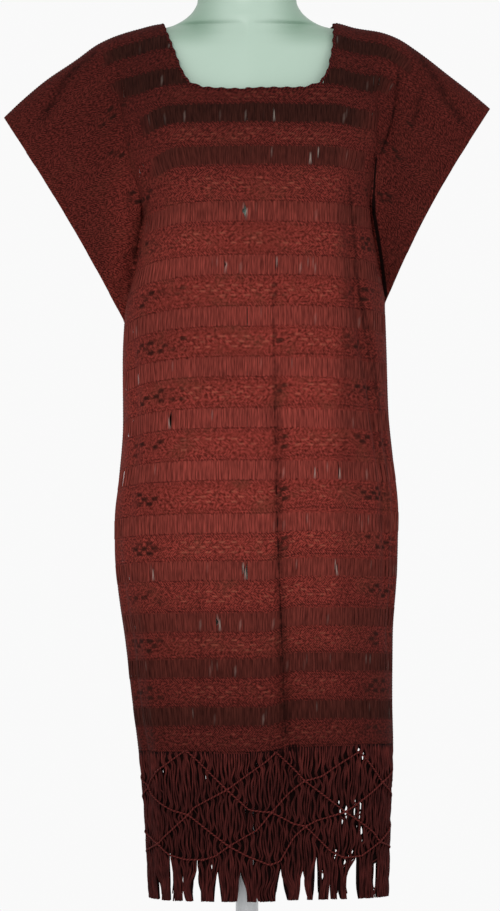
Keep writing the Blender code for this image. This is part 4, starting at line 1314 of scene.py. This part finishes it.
def cord_finish(name, dark, bright):
    """Two-ply cord, whose plies show as a sine of the turn and of the way along together, with
    painted shade in the grooves between them.
    """
    made, tree, shader = new_material(name, 0.85, **COTTON)
    turned, down = from_uv(tree)
    winding = turned * (2 * TURN) + down * (TURN / CORD_TWIST)
    ply = winding.math("SINE") * 0.5 + 0.5
    # The grooves between the plies are painted darker, as shade, with faint clouds of tone
    share = rise(ply * 0.7 + mottle(tree, 260.0) * 0.4, 0.2, 0.9)
    feed(shader, {"Base Color": blend(share, dark, bright), "Normal": relief(ply, 0.7, 0.0005)})
    return made


edging_red = cord_finish("edging_finish", (0.014, 0.0026, 0.0024), (0.070, 0.0110, 0.0095))
net_red = cord_finish("net_cord_finish", (0.032, 0.0060, 0.0054), (0.108, 0.0195, 0.0165))

# %% [markdown]
# ## Neck edging
#
# The neck is finished with a narrow rolled edge that is whipped over with thread, so it
# stands in small even scallops. It could be a bevelled curve, but a swept ring follows the
# cloth's own edge and its direction exactly.

# %% Neck edging
EDGE_POINTS, EDGE_SIDES, EDGE_HALF, EDGE_DEEP = 420, 10, 0.0016, 0.0014
EDGE_OUT, SCALLOP, SCALLOP_DIP, SCALLOP_LENGTH = 0.0007, 0.0007, -0.4, 0.0145
WHIP_SWELL, WHIP_LENGTH, EDGE_SWAY = 0.10, 0.0021, 0.0003
LOWEST = 0.0005


def even_path(points, count, *others):
    """Points at equal distances along a path, others read at the same places, and distances."""
    length = run_length(points)
    at = np.linspace(0, length[-1], count)
    return [np.stack([np.interp(at, length, column) for column in value.T], axis=1)
            for value in (points, *others)], at


def neck_edging(face):
    """The rolled edge of one panel, a little in from the cut so that it covers it."""
    left, right = (neck_share(LOWEST, side, face) for side in HANDS)
    across = np.linspace(-left, right, 3000)
    fall = np.maximum(neck_fall(across, face), 0.0002)
    points, normal = folded_points(across, fall, face)
    (path, facing), at = even_path(points, EDGE_POINTS, normal)
    away = unit(np.cross(facing, np.gradient(path, axis=0)) * -face)
    wave = at * TURN / SCALLOP_LENGTH
    whip = 1 + WHIP_SWELL * np.sin(at * TURN / WHIP_LENGTH)
    path = path + away * (EDGE_OUT + SCALLOP * np.maximum(np.sin(wave), SCALLOP_DIP))[:, None]
    path = path + facing * (EDGE_SWAY * np.cos(wave))[:, None]
    return sweep(path[None], facing[None], EDGE_HALF * whip[None], EDGE_DEEP * whip[None],
                 EDGE_SIDES)


edgings = {face: new_piece(f"{word}_neck_edging", neck_edging(face), [edging_red],
                           f"{word}_edging") for face, word in FACES.items()}

# %% [markdown]
# ## Cuffs and seams
#
# Each cuff is turned in once and stitched 9 mm from the edge, which makes the cloth double
# there. The panels are joined along the shoulders and down the sides by a close whipped
# seam, a cord of stitches as thick as the cloth.

# %% Cuff hems and seams
HEM_CLOTH, HEM_END, HEM_CURVED, HEM_COLUMNS = 0.0019, 0.2995, 0.03, 5
SEAM_HALF, SEAM_POINTS, SEAM_SIDES, SEAM_SWELL, STITCH = 0.0009, 500, 8, 0.22, 0.0030


def cuff_hem(face, side):
    """The turned hem along one cuff, from the fold line to just past the edge."""
    fall = np.concatenate([np.linspace(0, 1, 12)[:-1] ** 2 * HEM_CURVED,
                           np.linspace(HEM_CURVED, HEM_END, 60)])
    shares = []
    for level in fall:
        share, distance = weft_distance(level, side, face)
        fold = underarm_share(level / ARMHOLE_FALL)
        inner = max(np.interp(distance[-1] - CUFF_HEM, distance, share), fold + 0.35 * (1 - fold))
        shares.append(inner + (1 - inner) * np.linspace(0, 1, HEM_COLUMNS))
    edge = np.array(shares)
    grid = cloth_grid(side * edge, np.repeat(fall[:, None], HEM_COLUMNS, axis=1), face, side)
    grid["from_fold"] = (edge - edge[:, :1]) / (edge[:, -1:] - edge[:, :1]) * CUFF_HEM
    part = shell([grid], HEM_CLOTH)
    part["worn"] = wear_and_light_value(part["points"], face)
    nothing = np.zeros(len(part["points"]))
    return {**part, "from_middle": nothing, "half_height": nothing + 0.02, "sleeve": nothing + 1}


def seam_cord(place, side):
    """Whipping stitches along a seam, a thin thread whose width swells at each stitch.

    It runs along the shoulder from neck to cuff, or down the side to the hem.
    """
    share, fall, facing = np.ones(400), np.zeros(400), [0.0, 0.0, 1.0]
    if place == "shoulder":
        share = np.linspace(neck_share(LOWEST, side, FRONT) + 0.004, 0.997, 400)
    else:
        fall = np.linspace(ARMHOLE_FALL + 0.001, HEM_FALL - 0.001, 400)
        facing = [float(side), 0.0, 0.0]
    halves = sum(cloth_points(side * share, fall, face) for face in FACES)
    (path,), at = even_path(halves / 2, SEAM_POINTS)
    swell = SEAM_HALF * (1 + SEAM_SWELL * np.sin(at * TURN / STITCH))[None]
    return sweep(path[None], np.tile(facing, (1, SEAM_POINTS, 1)), swell, swell, SEAM_SIDES)


hems = {face: [new_piece(f"{word}_{hand}_cuff_hem", cuff_hem(face, side), [hem_red])
               for side, hand in HANDS.items()] for face, word in FACES.items()}
seams = [new_piece(f"{hand}_{place}_seam", seam_cord(place, side), [edging_red])
         for side, hand in HANDS.items() for place in ("shoulder", "side")]

# %% [markdown]
# ## Fringe
#
# Below the hem the warp hangs free in some 150 strands on each panel. The net pulls them out
# of line, so each one wavers on its way down, and past the last knots they hang together in
# flat locks of uneven width, cut straight across. Two layers of strands give the dense
# look: the ones in front, and ones just behind, coloured almost black as painted shade.

# %% Places on the fringe
HEM_SAMPLES, LOCK_START = 401, 0.895


def hem_path(face):
    """(across, length) along the hem from one side seam to the other."""
    across = np.linspace(-1.0, 1.0, HEM_SAMPLES)
    return across, run_length(cloth_points(across, np.full_like(across, HEM_FALL), face))


HEM_PATHS = {face: hem_path(face) for face in FACES}


def fringe_place(face, shares, falls):
    """Points and outward normals at shares of the hem's length, each at its own fall."""
    across, length = HEM_PATHS[face]
    at = np.interp(shares, length / length[-1], across)
    points, normal = cloth_points(at, falls, face), unfolded_normal(at, falls, face)
    height = fold_height(at, np.minimum(falls, HEM_FALL), face)
    height = height * (1 - 0.6 * ramp(falls, HEM_FALL, LOCK_START))
    return points + normal * height[..., None], normal


def on_fringe(face, spots):
    """(share, fall) of (x, z) spots seen on the fringe, found by correcting the fall."""
    shares = np.linspace(0, 1, 201)
    found = []
    for x, z in spots:
        fall = SHOULDER_Z - z
        for _ in range(3):
            points, _ = fringe_place(face, shares, np.full(201, fall))
            share = np.interp(x, points[:, 0], shares)
            fall += np.interp(share, shares, points[:, 2]) - z
        found.append((share, fall))
    return np.array(found)


# %% [markdown]
# The net comes first, because it decides how the strands bend. On the front its cords are
# drawn as the photograph shows them. The back has the same net, more even: each cord steps
# half a diamond sideways from one level to the next.

# %% Lines of the net
CORD_POINTS, NET_SEED = 90, 33
LEFTWARD, RIGHTWARD = 1, -1
# Way, then (x, z) points down each cord of the front
FRONT_CORDS = (
    (LEFTWARD, (-66.2, 586.3), (-105.9, 544.6), (-124.3, 523.4)),
    (LEFTWARD, (31.4, 584.4), (2, 560.8), (-21.7, 543.2), (-56.8, 523.8), (-63.4, 515.3),
     (-83.6, 495.9), (-95.6, 482.1), (-111.1, 468.4)),
    (LEFTWARD, (122.3, 584.4), (81.4, 557.9), (62.6, 553.1), (41.8, 535.5), (26.6, 518.7),
     (11, 499.2), (-19.8, 481.3), (-34.1, 470.6), (-47.3, 466.2)),
    (LEFTWARD, (163.9, 569.6), (147, 549.4), (107.1, 518.1), (74.8, 509.1), (63.6, 503),
     (51.3, 491.5), (36.3, 465.1), (24.8, 460.9)),
    (LEFTWARD, (163.9, 509.1), (144.1, 484), (124.3, 469.5), (105.3, 468)),
    (RIGHTWARD, (-66.2, 586.3), (-21.7, 543.2), (2.2, 521.2), (26.6, 518.7), (50.6, 505.8),
     (63.6, 503), (91.3, 475), (105.3, 468)),
    (RIGHTWARD, (31.4, 584.4), (62.6, 553.1), (107.1, 518.1), (137.5, 494.8), (144.1, 484),
     (159.5, 472.8)),
    (RIGHTWARD, (122.3, 584.4), (147, 549.4), (163.9, 525.6)),
    (RIGHTWARD, (-122.1, 559.7), (-105.9, 544.6), (-102.3, 535.5), (-81.4, 520.1),
     (-63.4, 515.3), (-47.3, 502.5), (-19.8, 481.3), (0, 470.8), (24.8, 460.9)),
    (RIGHTWARD, (-111.1, 494.8), (-95.6, 482.1), (-83.6, 470.6), (-66, 466.2), (-47.3, 466.2)),
)
BACK_LEVELS = 0.582, 0.546, 0.519, 0.486, 0.470
BACK_PITCH, BACK_SHIFT, BACK_ERROR = 0.0965, 0.013, 0.002


def net_cords(face, chance):
    """Cords as (way, share, fall), each with the same number of points inside the edges."""
    lines = [(way, np.array(line) / 1000) for way, *line in FRONT_CORDS]
    if face == BACK:
        lines = [(way, [(BACK_SHIFT + (number - way * step / 2) * BACK_PITCH
                         + chance.normal(0, BACK_ERROR), z) for step, z in enumerate(BACK_LEVELS)])
                 for way in (LEFTWARD, RIGHTWARD) for number in range(-4, 5)]
    found = []
    for way, spots in lines:
        corners = on_fringe(face, spots)
        part = np.linspace(0, len(corners) - 1, 12 * CORD_POINTS)
        share, fall = (np.interp(part, np.arange(len(corners)), values) for values in corners.T)
        inside = np.flatnonzero((share > 0.015) & (share < 0.985))
        if len(inside) > 2 * CORD_POINTS:
            pick = inside[np.linspace(0, len(inside) - 1, CORD_POINTS).astype(int)]
            found.append((way, share[pick], fall[pick]))
    return found


net_chance = np.random.default_rng(NET_SEED)
NETS = {face: net_cords(face, net_chance) for face in FACES}
print("cords in the front net:", len(NETS[FRONT]), "and in the back net:", len(NETS[BACK]))

# %% [markdown]
# Every cord is knotted to the strands that it crosses, three at a time. So the strands draw
# together at a cord, spread out again between two cords, and lean over to cross it at a right
# angle. In a few places they have parted and let the light through.

# %% Strands
# For the front layer and for the one behind: pitch, rows of points, half width
LAYERS = (0.0027, 44, 0.00100), (0.0031, 30, 0.0019)
STRAND_PITCH, STRAND_SIDES, STRAND_SEEDS = LAYERS[0][0], 6, {FRONT: 21, BACK: 22}
KNOT_STRANDS, PINCH_REACH, PULL, LEAN = 3, 0.0072, 0.70, 0.62
# How uneven: places, cut ends, the drift of a lock, size, pace and phase of the waver
PLACE_SPREAD, CUT_SPREAD, LOCK_DRIFT = 0.10, 0.0005, 0.0016
WAVER_SIZE, WAVER_PACE, PHASE_SPREAD, WAVER_FROM = (0.0004, 0.0013), (18.0, 32.0), 0.7, 0.02
# How far above and below its opening a lock comes free, and how wide and long a parting pushes
OPENS_ABOVE, OPENS_BELOW, PUSH_WIDE, PUSH_LONG = 0.014, 0.020, 1.25, 1.3
UNDER_DEPTH, RIPPLE, RIPPLE_PACE, LEVEL_UNTIL = 0.0021, 0.0005, 190.0, 0.01
LEAST_THICK, MOST_THICK, TAPER, TAPER_LENGTH = 0.72, 1.25, 0.25, 0.012
WORN, WORN_AT_HEM, WORN_LENGTH, WORN_RANGE = 0.15, 0.5, 0.05, (0.3, 1.6)
# x, z, half width and half height of the partings
PARTINGS = np.array([
    (122.7, 582.8, 1.3, 4), (128, 580, 1.2, 4.5), (-92.4, 561.9, 0.9, 4), (-93.5, 542, 1, 5),
    (-45.5, 556, 0.8, 4), (101.2, 530.5, 1, 3), (103, 519, 1.3, 3), (108.5, 517.5, 1.2, 6),
    (119.5, 521, 1.8, 8), (125, 525, 1.5, 6), (105, 509, 1.2, 4), (121.2, 501, 1.5, 5),
    (126.2, 498, 1.8, 4.5), (127, 488, 1.2, 6), (133.5, 492.5, 1.2, 3), (98.5, 477, 1.4, 3),
    (96.5, 469, 1.4, 3), (108.5, 466, 1.2, 3), (112, 472, 1.1, 3), (116.5, 474, 1, 3),
    (140.3, 453, 4, 15), (83.2, 450, 1.1, 5.5), (106.7, 457.4, 1.1, 6), (-39, 458.5, 0.9, 4),
    (124, 515, 1.4, 6), (130, 508.5, 1, 4),
]) / 1000
# Left and right end of each lock at its cut end, and the height where the gap after it opens
LOCKS = np.array([
    (-107.8, -97.9, 446), (-93.5, -84.7, 472), (-81.4, -71.5, 455), (-67.1, -59.4, 452),
    (-50.6, -36.3, 447), (-28.6, -11, 446), (0, 11, 439), (12.1, 31.9, 445), (44, 56.1, 444),
    (66, 72.6, 462), (78.1, 89.1, 465), (92.4, 99, 448), (103.4, 110, 463), (123.2, 140.8, 470),
    (143, 157.3, 450),
]) / 1000
LOCK_Z, GAP_HALF, HEM_HOLD = 0.43, 0.085, 0.002


def behind(face, spots):
    """Where the camera sees (x, z) spots of the front fringe on this panel's fringe."""
    middle = np.array([CENTRE_X, CENTRE_Z])
    return middle + (spots - middle) * (DISTANCE + face * GAP_HALF) / (DISTANCE - GAP_HALF)


def lock_bounds(face):
    """Shares of each lock's ends, and the fall where it parts from the last and the next one."""
    spots = np.stack([LOCKS[:, :2].reshape(-1), np.full(2 * len(LOCKS), LOCK_Z)], axis=1)
    ends = on_fringe(face, behind(face, spots))[:, 0].reshape(-1, 2)
    ends[0, 0], ends[-1, 1] = 0.002, 0.998
    after = SHOULDER_Z - LOCKS[:, 2]
    return np.column_stack([ends, np.append(after[:1], after[:-1]), after])


LOCK_ENDS = {face: lock_bounds(face) for face in FACES}
PARTED = {face: on_fringe(face, behind(face, PARTINGS[:, :2])) for face in FACES}


def drawn_by_net(face, start, fall, length):
    """Sideways shift of each strand, as a share: towards its knot, and over to cross the cord.

    Both fade with the distance d from the cord as exp(-(d / reach)^2), and the lean is that
    times d.
    """
    shift = np.zeros_like(fall)
    order = np.arange(len(start))
    for number, (way, share, cord_fall) in enumerate(NETS[face]):
        rank = np.argsort(share)
        away = fall - np.interp(start, share[rank], cord_fall[rank])
        near = hump(away / PINCH_REACH) * (start > share.min()) * (start < share.max())
        knot = (order + number) // KNOT_STRANDS * KNOT_STRANDS - number + (KNOT_STRANDS - 1) / 2
        shift += (PULL * (knot - order) * STRAND_PITCH + LEAN * way * away) * near / length
    return shift


def lock_goals(face, start, half):
    """For each strand: its share in its free lock, the lock's number, and where it opens."""
    locks = LOCK_ENDS[face]
    mine = np.abs(start[:, None] - locks[:, :2].mean(axis=1)).argmin(axis=1)
    part = np.empty(len(start))
    for lock in np.unique(mine):
        own = start[mine == lock]
        part[mine == lock] = (own - own.min()) / max(np.ptp(own), 1e-6)
    low, high, before, after = locks[mine].T
    margin = np.minimum(half, (high - low) / 4)
    return low + margin + (high - low - 2 * margin) * part, mine, before + (after - before) * part


def pushed_apart(face, share, fall, half, length):
    """Shares moved away from the middle of each parting near it."""
    for (_, _, half_width, half_height), (spot, level) in zip(PARTINGS, PARTED[face]):
        away = (share - spot) * length
        push = np.clip(PUSH_WIDE * half_width + half - np.abs(away), 0.0, None)
        push = push * hump((fall - level) / (PUSH_LONG * half_height), 4) / length
        share = share + np.where(away < 0, -push, push)
    return share


def strand_part(face, chance, under):
    """One layer of strands as a part: the front one, or the flat dense one under it."""
    pitch, rows, half = LAYERS[under]
    length = HEM_PATHS[face][1][-1]
    count = int(length / pitch)
    start = (np.arange(count) + 0.5 + chance.normal(0, PLACE_SPREAD, count)) / count
    goal, mine, opens = lock_goals(face, start, half / length)
    cut = FRINGE_FALL - np.abs(chance.normal(0, CUT_SPREAD, count))
    top = HEM_FALL - HEM_HOLD
    fall = top + (cut - top) * np.linspace(0, 1, rows)[:, None]
    free = ramp(fall, opens - OPENS_ABOVE, opens + OPENS_BELOW)
    drift = chance.normal(0, LOCK_DRIFT, len(LOCKS))[mine] / length
    drift = drift * np.sin(math.pi * np.clip((fall - opens) / (FRINGE_FALL - opens), 0.0, 1.0))
    size = chance.uniform(*WAVER_SIZE, count) / length * (1 - 0.6 * under)
    phase = np.cumsum(chance.normal(0, PHASE_SPREAD, count))
    waver = size * np.sin(fall * TURN * chance.uniform(*WAVER_PACE, count) + phase)
    waver = waver * ramp(fall, HEM_FALL, HEM_FALL + WAVER_FROM) * (1 - 0.5 * free)
    drawn = drawn_by_net(face, start, fall, length) * (1 - free) * (1 - 0.7 * under)
    share = start + (goal - start) * free + waver + drift + drawn
    share = pushed_apart(face, share, fall, half, length)
    points, normal = fringe_place(face, np.clip(share, 0.001, 0.999), fall)
    depth = RIPPLE * np.sin(fall * RIPPLE_PACE + phase) * (1 - under) - UNDER_DEPTH * under
    depth = depth * ramp(fall, HEM_FALL, HEM_FALL + LEVEL_UNTIL)
    paths = (points + normal * depth[..., None]).swapaxes(0, 1)
    thick = half * chance.uniform(LEAST_THICK + 0.2 * under, MOST_THICK, count)
    thick = thick * (1 - TAPER * ramp(fall, FRINGE_FALL - TAPER_LENGTH, FRINGE_FALL))
    worn = WORN + WORN_AT_HEM * (1 - ramp(fall, HEM_FALL, HEM_FALL + WORN_LENGTH))
    worn = worn * chance.uniform(*WORN_RANGE, count)
    made = sweep(paths, normal.swapaxes(0, 1), thick.T, thick.T * (0.85 - 0.4 * under),
                 STRAND_SIDES)
    made["weft"] = np.repeat(start * length, rows * STRAND_SIDES)
    made["worn"] = np.repeat(worn.T.reshape(-1), STRAND_SIDES)
    made["finish"] = np.full(len(made["faces"]), under)
    return made


def fringe_part(face):
    """The strands of one panel, and the dense flat ones behind them."""
    chance = np.random.default_rng(STRAND_SEEDS[face])
    return merged([strand_part(face, chance, under) for under in (0, 1)])


fringes = {face: new_piece(f"{word}_strands", fringe_part(face), [fringe_warp, fringe_shade],
                           f"{word}_fringe") for face, word in FACES.items()}

# %% [markdown]
# The cords themselves are thin and twisted, with a small knot at every group of strands and
# a larger one where two cords cross.

# %% Net cords
NET_HALF, NET_SIDES, NET_CLEAR, NET_ENDS_IN = 0.00090, 7, 0.0024, 0.0006
BEAD, BEAD_SWELL, CROSSING_REACH, CROSSING_SWELL, CROSSING_OUT = 0.0031, 0.12, 0.0024, 0.6, 0.0004


def net_part(face):
    """All the cords of one net, beaded with knots and thicker where they cross."""
    share, fall = (np.stack([cord[k] for cord in NETS[face]]) for k in (1, 2))
    points, normal = fringe_place(face, share, fall)
    inner = ramp(0.5 - np.abs(share - 0.5), 0.0, 0.06)
    points = points + normal * (NET_CLEAR * inner - NET_ENDS_IN * (1 - inner))[..., None]
    points[:, 1:-1] = (points[:, :-2] + 2 * points[:, 1:-1] + points[:, 2:]) / 4
    gaps = np.linalg.norm(points[:, :, None, None] - points[None, None], axis=-1)
    own = np.arange(len(points))
    gaps[own, :, own] = 1.0
    crossing = hump(gaps.min(axis=(2, 3)) / CROSSING_REACH)
    beads = BEAD_SWELL * np.sin(run_length(points) * TURN / BEAD)
    thick = NET_HALF * (1 + beads + CROSSING_SWELL * crossing) * (0.7 + 0.3 * inner)
    points = points + normal * CROSSING_OUT * crossing[..., None]
    return sweep(points, normal, thick, thick, NET_SIDES)


nets = {face: new_piece(f"{word}_knotted_net", net_part(face), [net_red],
                        f"{word}_net") for face, word in FACES.items()}

# %% [markdown]
# ## Dress form
#
# The dress stands on a smooth moulded form of pale green plastic with no head or limbs. Its
# sections are those of the CAD solid, run through a smooth curve in both directions, so that
# the neck and shoulders have no facets.

# %% Form surface
# Height, half width, depth in front, depth behind, a thousand times the squareness
FORM = np.array([
    (700, 93, 70, 75, 2300), (705, 106, 80, 86, 2300), (720, 114, 86, 93, 2300),
    (780, 120, 90, 98, 2300), (840, 119, 91, 98, 2300), (920, 108, 88, 91, 2200),
    (990, 99, 85, 83, 2200), (1050, 100, 87, 82, 2200), (1130, 106, 98, 88, 2300),
    (1180, 110, 104, 92, 2400), (1210, 113, 103, 92, 2400), (1240, 122, 99, 90, 2300),
    (1270, 135, 93, 86, 2100), (1300, 148, 86, 80, 1900), (1325, 156, 79, 74, 1700),
    (1345, 160, 73, 69, 1500), (1360, 158, 68, 64, 1350), (1370, 147.5, 64, 61, 1200),
    (1377, 118, 61, 59, 1150), (1384, 84, 59, 58, 1300), (1388.5, 74, 58, 57, 1700),
    (1393.5, 66.5, 57, 56, 1900), (1400, 60, 55, 55, 2000), (1410, 55, 53, 54, 2000),
    (1440, 52, 51, 52, 2000), (1448, 44, 44, 45, 2000), (1450, 30, 30, 31, 2000),
]) / 1000
ROUND_SIDES = 128
# From, to, and how many levels
FORM_LEVELS = ((FORM[0, 0], FORM[-1, 0], 150), (1.36, 1.41, 40), (0.70, 0.725, 12),
               (1.44, 1.45, 10))


def loft(rings):
    """A closed part through rings from the bottom up, with flat ends."""
    walls, caps = tube_faces(1, *rings.shape[:2])
    return {"points": rings.reshape(-1, 3), "faces": walls.tolist() + caps.tolist()}


def signed_power(value, power):
    """The power of a value's size, with the value's sign."""
    return np.sign(value) * np.abs(value) ** power


def form_part():
    """Superellipses through the smoothed sections, closer together where the form turns in."""
    z = np.unique(np.concatenate([np.linspace(*levels) for levels in FORM_LEVELS]))
    half, front, back, square = (smooth_curve(FORM, k, z)[:, None] for k in range(1, 5))
    turn = np.arange(ROUND_SIDES) * TURN / ROUND_SIDES
    x = half * signed_power(np.cos(turn), 2 / square)
    y = np.where(np.sin(turn) < 0, front, back) * signed_power(np.sin(turn), 2 / square)
    return loft(np.stack([x, y, z[:, None] * np.ones_like(x)], axis=-1))


def moulded_finish():
    """Pale green plastic: a satin skin with faint clouds, and painted shade where the shoulders
    turn away.
    """
    made, tree, shader = new_material("form_finish", 0.42, Coat_Weight=0.12,
                                      Coat_Roughness=0.35, Specular_IOR_Level=0.4)
    cloud = mottle(tree, 6.0, 4.0)
    x, _, z = split(object_place(tree))
    # Painted shade on the shoulders beside the neck
    side = rise(abs(x), 0.018, 0.060) * rise(z, 1.352, 1.38)
    colour = blend(cloud, (0.320, 0.430, 0.355), (0.385, 0.500, 0.420))
    feed(shader, {"Base Color": blend(side * 0.80, colour, (0.165, 0.270, 0.195)),
                  "Roughness": rise(cloud, 0.3, 0.7, 0.38, 0.50),
                  "Normal": relief(mottle(tree, 700.0), 0.06, 0.0003)})
    return made


form = new_piece("moulded_form", form_part(), [moulded_finish()], "dress_form", 60)

# %% [markdown]
# ## Stand
#
# A round steel base with a rounded rim, a collar and a plain pole; the collar's grub screw is
# not built. Each is a profile turned about the upright axis, with the edges rounded in the
# profile itself.

# %% Turned steel
ARC_STEPS = 7
# CAD node, radius of its rounding, then (radius, z) corners from the bottom up
TURNED = (
    ("base", 4, (150, 0), (160, 0), (160, 16), (50, 16), (31, 16)),
    ("collar", 1.2, (24, 16.3), (30, 16.3), (30, 25.5), (18.5, 29), (18.5, 38.3), (13, 38.3)),
    ("pole", 0.6, (10, 38.6), (12.5, 38.6), (12.5, 699.7), (10, 699.7)),
)


def steel_finish():
    """Satin steel: a brushed grain round the axis, and faint smudges in its gloss."""
    made, tree, shader = new_material("steel_finish", 0.34, Metallic=1.0)
    x, y, z = split(object_place(tree))
    radius = value_of(tree, "ShaderNodeVectorMath", {0: vector(x, y)}, "Value", operation="LENGTH")
    grain = noise(vector(radius * 900.0, z * 900.0))
    smudge = mottle(tree, 14.0)
    feed(shader, {"Base Color": blend(smudge, (0.46, 0.47, 0.48), (0.60, 0.61, 0.62)),
                  "Roughness": rise(smudge, 0.3, 0.7, 0.26, 0.40) + grain * 0.10,
                  "Normal": relief(grain, 0.12, 0.0002)})
    return made


def turned_part(radius, corners):
    """A solid turned from a profile, with each inner corner cut into a quarter arc."""
    corners = np.array(corners) / 1000
    found = [corners[0]]
    part = np.linspace(0, 1, ARC_STEPS)[:, None]
    for before, here, after in zip(corners, corners[1:], corners[2:]):
        reach = min(radius / 1000, *(np.linalg.norm(end - here) / 2 for end in (before, after)))
        first, last = (here + unit(end - here) * reach for end in (before, after))
        found += list((1 - part) ** 2 * first + 2 * part * (1 - part) * here + part**2 * last)
    out, z = np.array(found + [corners[-1]]).T[..., None]
    turn = np.arange(ROUND_SIDES) * TURN / ROUND_SIDES
    return loft(np.stack([out * np.cos(turn), out * np.sin(turn), z + 0 * turn], axis=-1))


steel = steel_finish()
for word, radius, *corners in TURNED:
    new_piece(f"steel_{word}", turned_part(radius, corners), [steel],
              f"stand_{word}", 50)
